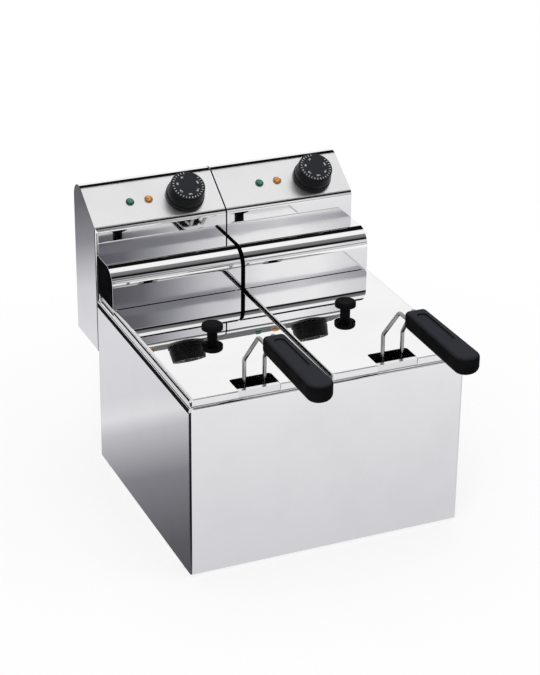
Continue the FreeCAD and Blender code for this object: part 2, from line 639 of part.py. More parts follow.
def make_head_housing(side, centre):
    body = new_body(f"head_housing_{side}")
    profile = new_sketch(body, "YZ_Plane", f"head_profile_{side}")
    outline(profile, [(HEAD_FRONT, HEAD_BOTTOM), (HEAD_REAR, HEAD_BOTTOM),
                      (HEAD_REAR, PANEL_CORNER + d.head_depth * SLOPE_TAN, d.top_bend),
                      (HEAD_FRONT, PANEL_CORNER, d.panel_bend)])
    pad(body, profile, 2 * HEAD_HALF, both_ways=True)
    cavity = new_sketch(body, "YZ_Plane", f"head_cavity_{side}")
    inner_front, inner_rear = HEAD_FRONT + d.sheet, HEAD_REAR - d.sheet
    inner_corner = PANEL_CORNER + d.sheet * SLOPE_TAN - d.sheet / SLOPE_COS
    inner_apex = inner_corner + (d.head_depth - 2 * d.sheet) * SLOPE_TAN
    outline(cavity, [(inner_front, HEAD_BOTTOM + d.sheet), (inner_rear, HEAD_BOTTOM + d.sheet),
                     (inner_rear, inner_apex, d.top_bend - d.sheet),
                     (inner_front, inner_corner, d.panel_bend - d.sheet)])
    pocket(body, cavity, 2 * (HEAD_HALF - d.sheet), both_ways=True)
    half_opening = HEAD_HALF - d.cover_edge - d.rear_flange
    rear = new_sketch(body, "XZ_Plane", f"head_rear_opening_{side}", -HEAD_REAR)
    rectangle(rear, -half_opening, HEAD_BOTTOM + d.rear_flange, half_opening, cover_top() - d.rear_flange, d.panel_bend)
    pocket(body, rear, d.sheet, backwards=True)
    screw_holes = new_sketch(body, "XZ_Plane", f"head_screw_holes_{side}", -HEAD_REAR)
    for x, z in cover_screw_places():
        circle(screw_holes, x, z, d.cover_screw + d.screw_gap)
    pocket(body, screw_holes, d.sheet, backwards=True)
    way = new_sketch(body, "XZ_Plane", f"head_wire_way_{side}", -(HEAD_FRONT + d.sheet))
    middle = PLATE_TOP + d.hood_height / 2
    rectangle(way, -d.wire_way_width / 2, middle - d.wire_way_height / 2,
              d.wire_way_width / 2, middle + d.wire_way_height / 2, d.panel_bend)
    pocket(body, way, d.sheet, backwards=True)
    holes = new_sketch(body, "XY_Plane", f"head_panel_holes_{side}", PANEL_CORNER)
    tilt_sketch(holes)
    for x in (d.green_side, d.amber_side):
        circle(holes, x, d.lamp_run, d.lamp_radius + d.hole_gap)
    circle(holes, d.knob_side, d.control_run, d.bush_radius + d.hole_gap)
    pocket(body, holes, 2 * d.sheet)
    floor_holes = new_sketch(body, "XY_Plane", f"head_floor_holes_{side}", HEAD_BOTTOM + d.sheet)
    circle(floor_holes, d.gland_side, HEAD_FRONT + d.under_row, d.gland_neck + d.hole_gap)
    circle(floor_holes, d.limiter_side, HEAD_FRONT + d.under_row, d.bush_radius + d.hole_gap)
    pocket(body, floor_holes, d.sheet)
    place(body, x=centre)
    keep(body, f"head_housing_{side}")


def tilt_sketch(sketch):
    """Lays a sketch in the sloped panel, its Y axis running up the slope from the lower corner."""
    bind(sketch, "AttachmentOffset.Base.y", HEAD_FRONT)
    bind(sketch, "AttachmentOffset.Rotation.Axis.x", 1)
    bind(sketch, "AttachmentOffset.Rotation.Axis.z", 0)
    bind(sketch, "AttachmentOffset.Rotation.Angle", d.panel_angle)


def place_on_panel(body, centre, sideways, run):
    """Seats a piece on the sloped panel, its Z axis along the panel's normal."""
    place(body, centre + sideways, HEAD_FRONT + run * SLOPE_COS, PANEL_CORNER + run * SLOPE_SIN, d.panel_angle)


def make_back_cover(side, centre):
    body = new_body(f"back_cover_{side}")
    half = HEAD_HALF - d.cover_edge
    face = new_sketch(body, "XZ_Plane", f"cover_face_{side}", -HEAD_REAR)
    rectangle(face, -half, HEAD_BOTTOM + d.cover_edge, half, cover_top(), d.lid_corner)
    pad(body, face, d.sheet, backwards=True)
    holes = new_sketch(body, "XZ_Plane", f"cover_holes_{side}", -HEAD_REAR)
    for x, z in cover_screw_places():
        circle(holes, x, z, d.cover_screw + d.screw_gap)
    pocket(body, holes, d.sheet)
    slot = new_sketch(body, "XZ_Plane", f"cover_vent_{side}", -HEAD_REAR)
    low = (HEAD_BOTTOM + cover_top()) / 2
    rectangle(slot, -d.vent_length / 2, low, d.vent_length / 2, low + d.vent_height, d.vent_height * 0.49)
    row = pocket(body, slot, d.sheet)
    repeat(body, row, "V_Axis", 4 * d.vent_pitch, 5)
    place(body, x=centre)
    keep(body, f"back_cover_{side}")
    screws = new_body(f"cover_screws_{side}")
    outside = HEAD_REAR + d.sheet
    for name, radius, length, backwards in (("heads", d.cover_screw_head, d.cover_screw_head_height, True),
                                            ("shanks", d.cover_screw, d.cover_screw_length, False)):
        plan = new_sketch(screws, "XZ_Plane", f"cover_screw_{name}_{side}", -outside)
        for x, z in cover_screw_places():
            circle(plan, x, z, radius)
        pad(screws, plan, length, backwards=backwards)
    place(screws, x=centre)
    keep(screws, f"cover_screws_{side}")


def hood_outline(sketch, inset):
    """The hood's end view, smaller all round by the inset."""
    outline(sketch, [(HOOD_FRONT + inset, PLATE_TOP), (HEAD_FRONT, PLATE_TOP), (HEAD_FRONT, HOOD_TOP - inset),
                     (HOOD_FRONT + inset, HOOD_TOP - inset, d.hood_nose - inset)])


def make_hood(side, centre):
    body = new_body(f"hood_{side}")
    profile = new_sketch(body, "YZ_Plane", f"hood_profile_{side}")
    hood_outline(profile, as_size(0))
    pad(body, profile, 2 * LID_HALF, both_ways=True)
    inside = new_sketch(body, "YZ_Plane", f"hood_inside_{side}")
    hood_outline(inside, d.sheet)
    pocket(body, inside, 2 * LID_HALF, both_ways=True)
    place(body, x=centre)
    keep(body, f"hood_{side}")
    plates = new_body(f"hood_end_plates_{side}")
    outer = LID_HALF - d.end_plate_recess
    for name, offset in (("inner", -outer), ("outer", outer - d.end_plate)):
        view = new_sketch(plates, "YZ_Plane", f"end_plate_{name}_{side}", offset)
        hood_outline(view, d.sheet + d.end_plate_gap)
        pad(plates, view, d.end_plate)
    place(plates, x=centre)
    keep(plates, f"hood_end_plates_{side}")


def element_leg_places():
    return [(x, LEG_PLACE) for x in (-ELEMENT_HALF, ELEMENT_HALF)]


def bulb_places():
    return [(x, LEG_PLACE) for x in (-d.bulb_half, d.bulb_half)]


def make_element(side, centre):
    body = new_body(f"element_plate_{side}")
    plan = new_sketch(body, "XY_Plane", f"element_plate_plan_{side}", RIM_TOP)
    half = RIM_HALF - d.plate_edge_gap
    rectangle(plan, -half, HOOD_FRONT, half, RIM_REAR - d.plate_edge_gap, d.lid_corner)
    pad(body, plan, d.sheet)
    holes = new_sketch(body, "XY_Plane", f"element_plate_holes_{side}", PLATE_TOP)
    for x, y in element_leg_places():
        circle(holes, x, y, d.element_radius + d.element_hole_gap)
    for x, y in bulb_places():
        circle(holes, x, y, d.capillary_radius + d.element_hole_gap)
    pocket(body, holes, d.sheet)
    place(body, x=centre)
    keep(body, f"element_plate_{side}")
    height = TANK_FLOOR + d.element_lift
    front, middle, leg = FRONT + d.element_front, LEG_PLACE - d.element_back, LEG_PLACE
    outer, inner = ELEMENT_HALF, ELEMENT_HALF / 3
    half_route = [(-outer, leg, PLATE_TOP + d.element_head), (-outer, leg, height), (-outer, front, height),
                  (-inner, front, height), (-inner, middle, height)]
    route = half_route + [(-x, y, z) for x, y, z in reversed(half_route)]
    element = bent_wire(f"heating_element_{side}", route, d.element_radius, d.element_bend)
    place(element, x=centre)
    keep(element, f"heating_element_{side}")
    bulbs = new_body(f"sensor_bulbs_{side}")
    top = RIM_TOP - d.bulb_top
    for name, radius, low, length in (
            ("bulbs", d.bulb_radius, top - d.bulb_length, d.bulb_length),
            ("tubes", d.capillary_radius, top, d.bulb_top + d.sheet + d.capillary_head)):
        view = new_sketch(bulbs, "XY_Plane", f"sensor_{name}_{side}", low)
        for x, y in bulb_places():
            circle(view, x, y, radius)
        pad(bulbs, view, length)
    place(bulbs, x=centre)
    keep(bulbs, f"sensor_bulbs_{side}")


def make_thermostat(side, centre):
    body = new_body(f"thermostat_{side}")
    half = d.thermostat_size / 2
    case = new_sketch(body, "XY_Plane", f"thermostat_case_{side}", -d.sheet)
    rectangle(case, -half, -half, half, half, d.lid_corner)
    pad(body, case, d.thermostat_depth, backwards=True)
    bush = new_sketch(body, "XY_Plane", f"thermostat_bush_{side}", -d.sheet)
    circle(bush, 0, 0, d.bush_radius)
    pad(body, bush, d.sheet + d.bush_rise)
    bore = new_sketch(body, "XY_Plane", f"thermostat_bore_{side}", d.bush_rise)
    circle(bore, 0, 0, d.shaft_radius + d.shaft_gap)
    pocket(body, bore, d.bush_rise + d.sheet + d.thermostat_depth / 2)
    place_on_panel(body, centre, d.knob_side, d.control_run)
    keep(body, f"thermostat_{side}")
    low = d.fit_gap - d.sheet - d.thermostat_depth / 2
    shaft = turned(f"thermostat_shaft_{side}", [(0, low), (d.shaft_radius, low), (d.shaft_radius, d.shaft_rise),
                                                (0, d.shaft_rise)])
    place_on_panel(shaft, centre, d.knob_side, d.control_run)
    keep(shaft, f"thermostat_shaft_{side}")
    base, top = d.knob_lift, d.knob_lift + d.knob_height
    bore_radius, bore_top = d.shaft_radius + d.shaft_gap, d.shaft_rise + d.fit_gap
    hollow_top = base + d.knob_hollow
    skirt_top = base + d.knob_skirt
    groove_top = skirt_top + d.knob_groove
    knob = turned(f"thermostat_knob_{side}", [
        (d.knob_hollow_radius, base), (d.knob_radius, base), (d.knob_radius, skirt_top),
        (d.knob_groove_radius, skirt_top), (d.knob_groove_radius, groove_top), (d.knob_body_radius, groove_top),
        (d.knob_face_radius, top, d.knob_edge), (0, top), (0, bore_top),
        (bore_radius, bore_top), (bore_radius, hollow_top), (d.knob_hollow_radius, hollow_top)])
    place_on_panel(knob, centre, d.knob_side, d.control_run)
    keep(knob, f"thermostat_knob_{side}")


def make_lamps(side, centre):
    for colour, sideways in (("green", d.green_side), ("amber", d.amber_side)):
        lamp = turned(f"{colour}_lamp_{side}", [
            (0, -d.lamp_barrel), (d.lamp_radius, -d.lamp_barrel), (d.lamp_radius, 0), (d.lamp_bezel, 0),
            (d.lamp_bezel, d.lamp_bezel_height), (d.lamp_lens, d.lamp_bezel_height),
            (d.lamp_lens, d.lamp_rise, (d.lamp_rise - d.lamp_bezel_height) * 0.9), (0, d.lamp_rise)])
        place_on_panel(lamp, centre, sideways, d.lamp_run)
        keep(lamp, f"{colour}_lamp_{side}")


def make_underside(side, centre):
    floor = d.sheet
    case_top = floor + d.limiter_height
    bore = d.button_radius + d.shaft_gap
    collar = d.limiter_collar_height
    limiter = turned(f"safety_thermostat_{side}", [
        (bore, -collar), (d.limiter_collar, -collar), (d.limiter_collar, 0), (d.bush_radius, 0),
        (d.bush_radius, floor), (d.limiter_radius, floor), (d.limiter_radius, case_top), (0, case_top),
        (0, d.button_bore + d.button_travel), (bore, d.button_bore + d.button_travel)])
    row = HEAD_FRONT + d.under_row
    place(limiter, centre + d.limiter_side, row, HEAD_BOTTOM)
    keep(limiter, f"safety_thermostat_{side}")
    low = -collar - d.button_rise
    button = turned(f"reset_button_{side}", [(0, low), (d.button_radius, low, d.fit_gap * 3),
                                             (d.button_radius, d.button_bore - d.fit_gap),
                                             (0, d.button_bore - d.fit_gap)])
    place(button, centre + d.limiter_side, row, HEAD_BOTTOM)
    keep(button, f"reset_button_{side}")
    nut_top = floor + d.gland_nut
    gland = turned(f"cable_gland_{side}", [
        (d.gland_bore, -d.gland_drop), (d.gland_neck, -d.gland_drop), (d.gland_radius, d.gland_neck - d.gland_drop),
        (d.gland_radius, 0), (d.gland_neck, 0), (d.gland_neck, floor), (d.gland_radius, floor),
        (d.gland_radius, nut_top), (d.gland_bore, nut_top)])
    place(gland, centre + d.gland_side, row, HEAD_BOTTOM)
    keep(gland, f"cable_gland_{side}")
    block = new_body(f"terminal_block_{side}")
    half_width, half_depth = d.terminal_width / 2, d.terminal_depth / 2
    plan = new_sketch(block, "XY_Plane", f"terminal_plan_{side}", floor)
    rectangle(plan, -half_width, -half_depth, half_width, half_depth)
    pad(block, plan, d.terminal_height)
    wells = new_sketch(block, "XY_Plane", f"terminal_wells_{side}", floor + d.terminal_height)
    for place_in_row in (-1, 0, 1):
        circle(wells, place_in_row * d.terminal_width / 3, 0, d.terminal_hole)
    pocket(block, wells, d.terminal_height / 2)
    place(block, centre, row, HEAD_BOTTOM)
    keep(block, f"terminal_block_{side}")


def mesh_panel(label, plane, offset, low, high, gaps):
    """One flat mesh panel: a sheet of wire thickness with a grid of square gaps."""
    body = new_body(label)
    wire = d.mesh_wire
    face = new_sketch(body, plane, label + "_face", offset)
    rectangle(face, *low, *high)
    pad(body, face, wire)
    steps = [(top - bottom - wire) / count for bottom, top, count in zip(low, high, gaps)]
    gap = new_sketch(body, plane, label + "_gap", offset)
    rectangle(gap, low[0] + wire, low[1] + wire, low[0] + steps[0], low[1] + steps[1])
    first = pocket(body, gap, wire, backwards=True)
    repeat(body, first, "H_Axis", (gaps[0] - 1) * steps[0], gaps[0], also=((gaps[1] - 1) * steps[1], gaps[1]))
    return body


def make_basket(side, centre):
    half = TANK_HALF - d.basket_side
    front, rear = FRONT + d.basket_front, HOOD_FRONT - d.basket_rear
    low = TANK_FLOOR + d.element_lift + d.element_radius + d.basket_lift
    wall_low = low + d.mesh_wire
    rim_middle = RIM_TOP - d.basket_rim_drop
    high = rim_middle - d.rim_wire
    inner = half - d.mesh_wire
    panels = [
        mesh_panel(f"basket_floor_{side}", "XY_Plane", low, (-half, front), (half, rear), (5, 8)),
        mesh_panel(f"basket_near_{side}", "XZ_Plane", -(front + d.mesh_wire), (-inner, wall_low), (inner, high),
                   (5, 4)),
        mesh_panel(f"basket_far_{side}", "XZ_Plane", -rear, (-inner, wall_low), (inner, high), (5, 4)),
        mesh_panel(f"basket_west_{side}", "YZ_Plane", -half, (front, wall_low), (rear, high), (8, 4)),
        mesh_panel(f"basket_east_{side}", "YZ_Plane", inner, (front, wall_low), (rear, high), (8, 4)),
    ]
    mesh = doc.addObject("Part::Compound", f"basket_mesh_{side}")
    mesh.Links = panels
    place(mesh, x=centre)
    keep(mesh, f"basket_mesh_{side}")
    across, near, far = half - d.rim_wire, front + d.rim_wire, rear - d.rim_wire
    corners = [(0, near), (across, near), (across, far), (-across, far), (-across, near)]
    rim = bent_wire(f"basket_rim_{side}", [(x, y, rim_middle) for x, y in corners], d.rim_wire, d.rim_corner, True)
    place(rim, x=centre)
    keep(rim, f"basket_rim_{side}")
    wire_front = front - d.handle_gap - d.rim_wire
    wide, narrow = d.handle_half, d.handle_grip_half
    grip_middle = RIM_TOP + d.handle_rise
    grip_rear = FRONT - d.grip_start
    half_route = [(-narrow, grip_rear - d.grip_socket + d.fit_gap, grip_middle),
                  (-narrow, FRONT - d.handle_knee, grip_middle),
                  (-wide, wire_front, RIM_TOP + d.handle_upright), (-wide, wire_front, RIM_TOP - d.handle_foot)]
    route = half_route + [(-x, y, z) for x, y, z in reversed(half_route)]
    handle = bent_wire(f"basket_handle_{side}", route, d.rim_wire, d.handle_bend)
    place(handle, x=centre)
    keep(handle, f"basket_handle_{side}")
    make_grip(side, centre, grip_rear, grip_middle)


def make_grip(side, centre, grip_rear, grip_middle):
    body = new_body(f"basket_grip_{side}")
    bottom, top = grip_middle - d.grip_height / 2, grip_middle + d.grip_height / 2
    nose = grip_rear - d.grip_length
    rear_half, front_half = d.grip_rear_width / 2, d.grip_front_width / 2
    plan = new_sketch(body, "XY_Plane", f"grip_plan_{side}", bottom)
    outline(plan, [(-front_half, nose, d.grip_nose), (front_half, nose, d.grip_nose),
                   (rear_half, grip_rear, d.grip_heel), (-rear_half, grip_rear, d.grip_heel)])
    pad(body, plan, d.grip_height)
    fillet(body, d.grip_under, lambda edge: on_level(bottom)(edge) and edge.BoundBox.YMin < grip_rear.value - 10)
    fillet(body, d.grip_edge, on_level(top))
    thumb = new_sketch(body, "XY_Plane", f"grip_thumb_{side}", top)
    start = grip_rear - d.thumb_start
    half = d.thumb_width / 2
    rectangle(thumb, -half, start - d.thumb_length, half, start, d.thumb_width * 0.49)
    pocket(body, thumb, d.thumb_depth)
    sockets = new_sketch(body, "XZ_Plane", f"grip_sockets_{side}", -grip_rear)
    for x in (-d.handle_grip_half, d.handle_grip_half):
        circle(sockets, x, grip_middle, d.rim_wire + d.shaft_gap)
    pocket(body, sockets, d.grip_socket, backwards=True)
    place(body, x=centre)
    keep(body, f"basket_grip_{side}")


def make_lid(side, centre):
    body = new_body(f"lid_{side}")
    half = LID_HALF
    front, rear = FRONT + d.lid_inset, HOOD_FRONT - d.lid_rear_gap
    plan = new_sketch(body, "XY_Plane", f"lid_plan_{side}", LID_BOTTOM)
    outline(plan, [(-half, front, d.lid_corner), (half, front, d.lid_corner), (half, rear), (-half, rear)])
    height = LID_TOP - LID_BOTTOM
    pad(body, plan, height)
    fillet(body, d.fold, lambda edge: on_level(LID_TOP)(edge) and edge.BoundBox.YMin < front.value + 10)
    inner, inner_front, bend = half - d.sheet, front + d.sheet, d.lid_corner - d.sheet
    inside = new_sketch(body, "XY_Plane", f"lid_inside_{side}", LID_BOTTOM)
    outline(inside, [(-inner, inner_front, bend), (inner, inner_front, bend), (inner, rear), (-inner, rear)])
    pocket(body, inside, height - d.sheet, backwards=True)
    notch = new_sketch(body, "XY_Plane", f"lid_notch_{side}", LID_TOP)
    half_notch = d.notch_width / 2
    outline(notch, [(-half_notch, front - d.sheet), (half_notch, front - d.sheet),
                    (half_notch, front + d.notch_depth, d.notch_corner),
                    (-half_notch, front + d.notch_depth, d.notch_corner)])
    pocket(body, notch, height)
    lip = new_sketch(body, "XY_Plane", f"lid_lip_{side}", RIM_TOP)
    half_lip = TANK_HALF - d.lid_fit
    rectangle(lip, -half_lip, rear - d.sheet, half_lip, rear)
    pad(body, lip, d.lid_lip, backwards=True)
    knob_y = front + d.lid_knob_back
    hole = new_sketch(body, "XY_Plane", f"lid_hole_{side}", LID_TOP)
    circle(hole, 0, knob_y, d.lid_screw + d.screw_gap)
    pocket(body, hole, d.sheet)
    place(body, x=centre)
    keep(body, f"lid_{side}")
    cap_low = d.lid_knob_height - d.lid_knob_cap
    bore, bore_top = d.lid_screw + d.screw_gap, d.lid_screw_grip + d.fit_gap
    knob = turned(f"lid_knob_{side}", [
        (bore, 0), (d.lid_knob_stem, 0), (d.lid_knob_stem, cap_low, d.lid_knob_crown), (d.lid_knob_radius, cap_low),
        (d.lid_knob_radius, d.lid_knob_height, d.lid_knob_crown), (0, d.lid_knob_height), (0, bore_top),
        (bore, bore_top)])
    place(knob, centre, knob_y, LID_TOP)
    keep(knob, f"lid_knob_{side}")
    under = -d.sheet
    low = under - d.lid_screw_head_height
    screw = turned(f"lid_knob_screw_{side}", [
        (0, low), (d.lid_screw_head, low), (d.lid_screw_head, under), (d.lid_screw, under),
        (d.lid_screw, d.lid_screw_grip), (0, d.lid_screw_grip)])
    place(screw, centre, knob_y, LID_TOP)
    keep(screw, f"lid_knob_screw_{side}")


def check_document():
    """Stops if any object failed to build or a sub-part has no sound shape."""
    for thing in doc.Objects:
        if {"Invalid", "Error"} & set(thing.State):
            raise RuntimeError(f"{thing.Name} failed: {thing.State}")
    for thing in nodes:
        if thing.Shape.isNull() or not thing.Shape.isValid() or not thing.Shape.Solids:
            raise RuntimeError(f"{thing.Label} has no sound shape")


make_casing_shell()
make_rear_panel()
make_base_plate()
make_centre_rail()
make_feet()
for side, centre in SIDES.items():
    for make in (make_tank, make_head_housing, make_back_cover, make_hood, make_element, make_thermostat, make_lamps,
                 make_underside, make_basket, make_lid):
        make(side, centre)
doc.recompute()
check_document()
os.makedirs("parts", exist_ok=True)
for thing in nodes:
    thing.Shape.exportStep(f"parts/{thing.Label}.step")
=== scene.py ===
"""Dresses the double countertop fryer: finishes, dials, lamps, woven baskets, screws, stage and camera."""
import json
import math

import bmesh
import bpy
from bpy.props import FloatProperty, FloatVectorProperty, IntProperty, PointerProperty
from mathutils import Matrix, Vector

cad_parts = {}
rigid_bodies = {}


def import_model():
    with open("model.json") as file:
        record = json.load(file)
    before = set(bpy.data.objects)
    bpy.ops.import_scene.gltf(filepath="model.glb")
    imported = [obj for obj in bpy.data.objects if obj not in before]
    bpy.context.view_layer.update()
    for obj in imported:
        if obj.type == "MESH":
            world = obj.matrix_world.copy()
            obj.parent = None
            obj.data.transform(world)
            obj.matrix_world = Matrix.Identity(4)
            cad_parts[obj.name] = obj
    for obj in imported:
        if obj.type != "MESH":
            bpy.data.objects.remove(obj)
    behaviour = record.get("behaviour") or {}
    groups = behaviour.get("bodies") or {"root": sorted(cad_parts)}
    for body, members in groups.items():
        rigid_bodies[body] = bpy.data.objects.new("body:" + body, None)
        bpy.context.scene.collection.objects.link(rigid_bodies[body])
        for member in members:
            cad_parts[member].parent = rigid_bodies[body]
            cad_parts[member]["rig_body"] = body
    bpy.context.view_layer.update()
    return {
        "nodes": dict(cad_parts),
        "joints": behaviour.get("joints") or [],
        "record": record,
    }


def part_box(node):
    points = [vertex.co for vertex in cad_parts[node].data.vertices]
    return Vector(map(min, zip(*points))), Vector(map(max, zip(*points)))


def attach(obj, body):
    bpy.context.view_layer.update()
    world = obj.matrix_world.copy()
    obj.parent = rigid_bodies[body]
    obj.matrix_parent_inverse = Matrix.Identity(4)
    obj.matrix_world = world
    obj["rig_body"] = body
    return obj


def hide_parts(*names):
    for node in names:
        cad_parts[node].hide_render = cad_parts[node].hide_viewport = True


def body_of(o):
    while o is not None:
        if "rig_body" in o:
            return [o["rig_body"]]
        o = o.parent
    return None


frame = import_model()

bl_info = {
    "name": "Countertop Double Fryer",
    "version": (1, 0, 0),
    "blender": (4, 5, 0),
    "location": "View3D > Sidebar > Fryer",
    "description": "Dresses the packed fryer with its finishes, dials, lamps, baskets, screws and stage",
    "category": "Object",
}

MM = 0.001
WELD = 0.002 * MM  # points of a mesh that are closer than this are one point
SIDES = ("left", "right")
LEFT, RIGHT, AHEAD, UP = Vector((-1, 0, 0)), Vector((1, 0, 0)), Vector((0, -1, 0)), Vector((0, 0, 1))
CASING_LOW, CASING_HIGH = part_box("casing_shell")
FRONT = CASING_LOW.y
NODE_SLOTS = {row["node"]: row["material_slot"] for row in frame["record"]["subparts"]}
JOINTS = {joint["name"]: joint for joint in frame["joints"]}
FINISHES = {}  # materials by the name of the record's slot or of the detail


# Sizes and colours that a user may change

def a_length(name, description, default):
    return FloatProperty(name=name, description=description, default=default, unit="LENGTH")


def an_angle(name, description, degrees):
    return FloatProperty(name=name, description=description, default=math.radians(degrees), subtype="ANGLE")


def a_colour(name, description, default):
    return FloatVectorProperty(name=name, description=description, default=default, subtype="COLOR",
                               min=0, max=1)


class FryerSizes(bpy.types.PropertyGroup):
    """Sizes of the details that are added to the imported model."""
    smooth_angle: an_angle("Smooth angle", "Edges flatter than this are shaded smooth", 32)
    weave_pitch: a_length("Weave pitch", "Distance between the wires of the basket's weave", 7 * MM)
    weave_wire: a_length("Weave wire", "Radius of the wires of the basket's weave", 0.5 * MM)
    tick_count: IntProperty(name="Ticks", description="Number of ticks round a dial", default=26, min=2)
    tick_start: an_angle("Tick start", "Angle of a dial's first tick", 90)
    tick_sweep: an_angle("Tick sweep", "Angle that the ticks of a dial cover", 300)
    tick_radius: a_length("Tick radius", "Distance of a dial's ticks from its middle", 19.4 * MM)
    tick_length: a_length("Tick length", "Length of a tick of a dial", 2.5 * MM)
    tick_width: a_length("Tick width", "Width of a tick of a dial", 0.55 * MM)
    numeral_radius: a_length("Numeral radius", "Distance of a dial's numbers from its middle", 13.8 * MM)
    numeral_height: a_length("Numeral height", "Height of the numbers on a dial", 3.2 * MM)
    print_depth: a_length("Print depth", "Thickness of the print on a dial", 0.12 * MM)
    cover_screw: a_length("Cover screw", "Radius of the heads of the cover screws", 3.2 * MM)
    foot_screw: a_length("Foot screw", "Radius of the heads of the foot screws", 4 * MM)
    foot_screw_head: a_length("Foot screw head", "Height of the heads of the foot screws", 2 * MM)
    recess_width: a_length("Recess width", "Width of the cross recess in a screw", 0.9 * MM)
    side_fold: a_length("Side fold", "Width of the rolled edges along the casing's sides", 10 * MM)
    front_fold: a_length("Front fold", "Width of the rolled edges round the casing's front", 4 * MM)
    lid_fold: a_length("Lid fold", "Width of the rolled edges of the lids", 5 * MM)
    head_fold: a_length("Head fold", "Width of the rolled edges of the heads", 4 * MM)


class FryerColours(bpy.types.PropertyGroup):
    """Colours of the finishes."""
    steel: a_colour("Polished steel", "Tint of the polished sheet", (0.896, 0.895, 0.905))
    wire: a_colour("Wire", "Tint of the plated wire", (0.66, 0.66, 0.68))
    plastic: a_colour("Black plastic", "Colour of the knobs and grips", (0.0045, 0.0045, 0.005))
    printing: a_colour("Dial print", "Colour of the ticks and numbers", (0.66, 0.66, 0.66))
    green: a_colour("Green lens", "Colour of the green lamps", (0.003, 0.15, 0.085))
    amber: a_colour("Amber lens", "Colour of the amber lamps", (0.64, 0.28, 0.045))
    floor: a_colour("Floor", "Colour of the floor", (0.86, 0.86, 0.86))


# Node trees written as expressions

class Value:
    """A socket in an expression: sums on values add their Math nodes."""

    def __init__(self, graph, socket):
        self.graph = graph
        self.socket = socket

    def __add__(self, other):
        return self.graph.maths("ADD", self, other)

    def __radd__(self, other):
        return self.graph.maths("ADD", other, self)

    def __sub__(self, other):
        return self.graph.maths("SUBTRACT", self, other)

    def __rsub__(self, other):
        return self.graph.maths("SUBTRACT", other, self)

    def __mul__(self, other):
        return self.graph.maths("MULTIPLY", self, other)

    def __truediv__(self, other):
        return self.graph.maths("DIVIDE", self, other)


class Graph:
    """A node tree whose nodes give values."""

    def __init__(self, tree):
        self.tree = tree

    def node(self, kind, settings=None, inputs=None, output=0):
        """Adds a node with its settings, then its inputs, and returns one of its outputs."""
        made = self.tree.nodes.new(kind)
        for name, value in (settings or {}).items():
            setattr(made, name, value)
        for name, value in (inputs or {}).items():
            if isinstance(value, Value):
                self.tree.links.new(value.socket, made.inputs[name])
            else:
                made.inputs[name].default_value = value
        return Value(self, made.outputs[output])

    def maths(self, operation, first, second=0.0):
        return self.node("ShaderNodeMath", {"operation": operation}, {0: first, 1: second})


class ShaderGraph(Graph):
    """The node tree of one material or world."""

    def __init__(self, owner):
        owner.use_nodes = True
        owner.node_tree.nodes.clear()
        super().__init__(owner.node_tree)
        self.owner = owner

    def ramp(self, factor, *stops):
        """A colour ramp with linear steps between its stops."""
        shade = self.node("ShaderNodeValToRGB", inputs={"Fac": factor})
        elements = shade.socket.node.color_ramp.elements
        while len(elements) < len(stops):
            elements.new(1.0)
        for element, (place, colour) in zip(elements, stops):
            element.position = place
            element.color = opaque(colour)
        return shade

    def span(self, value, low, high, out_low=0.0, out_high=1.0):
        """Maps a range of values to another range, held at both ends."""
        return self.node("ShaderNodeMapRange", inputs={
            "Value": value, "From Min": low, "From Max": high, "To Min": out_low, "To Max": out_high})

    def place(self, scale=(1, 1, 1)):
        """The piece's own coordinates in metres, stretched by scale."""
        here = self.node("ShaderNodeTexCoord", output="Object")
        if scale == (1, 1, 1):
            return here
        return self.node("ShaderNodeMapping", inputs={"Vector": here, "Scale": scale})

    def noise(self, size, stretch=(1, 1, 1), detail=3.0, rough=0.5):
        """Noise with features of about that size in metres."""
        return self.node("ShaderNodeTexNoise", inputs={
            "Vector": self.place(stretch), "Scale": 1 / size, "Detail": detail, "Roughness": rough})

    def mix(self, factor, first, second):
        """A colour between two others."""
        return self.node("ShaderNodeMix", {"data_type": "RGBA"}, {0: factor, 6: first, 7: second}, output=2)

    def part(self, vector, axis):
        """A vector's part along one axis."""
        return self.node("ShaderNodeSeparateXYZ", inputs={"Vector": vector}, output=axis)

    def along(self, direction):
        """How far the place lies along a direction, in metres."""
        inputs = {0: self.place(), 1: direction}
        return self.node("ShaderNodeVectorMath", {"operation": "DOT_PRODUCT"}, inputs, output=1)

    def bump(self, height, distance, strength=1.0, under=None):
        """A surface with small height changes, on top of another one where it is given."""
        inputs = {"Height": height, "Distance": distance, "Strength": strength}
        if under:
            inputs["Normal"] = under
        return self.node("ShaderNodeBump", inputs=inputs)

    def finish(self, shader, kind="ShaderNodeOutputMaterial"):
        """Gives the shader to the material or world, and returns that."""
        out = self.tree.nodes.new(kind)
        self.tree.links.new(shader.socket, out.inputs["Surface"])
        return self.owner

    def principled(self, colour, rough, metallic=0.0, **others):
        """A finished material; the names of other inputs have underscores for spaces."""
        inputs = {"Base Color": colour, "Roughness": rough, "Metallic": metallic}
        inputs.update({name.replace("_", " "): value for name, value in others.items()})
        return self.finish(self.node("ShaderNodeBsdfPrincipled", inputs=inputs))


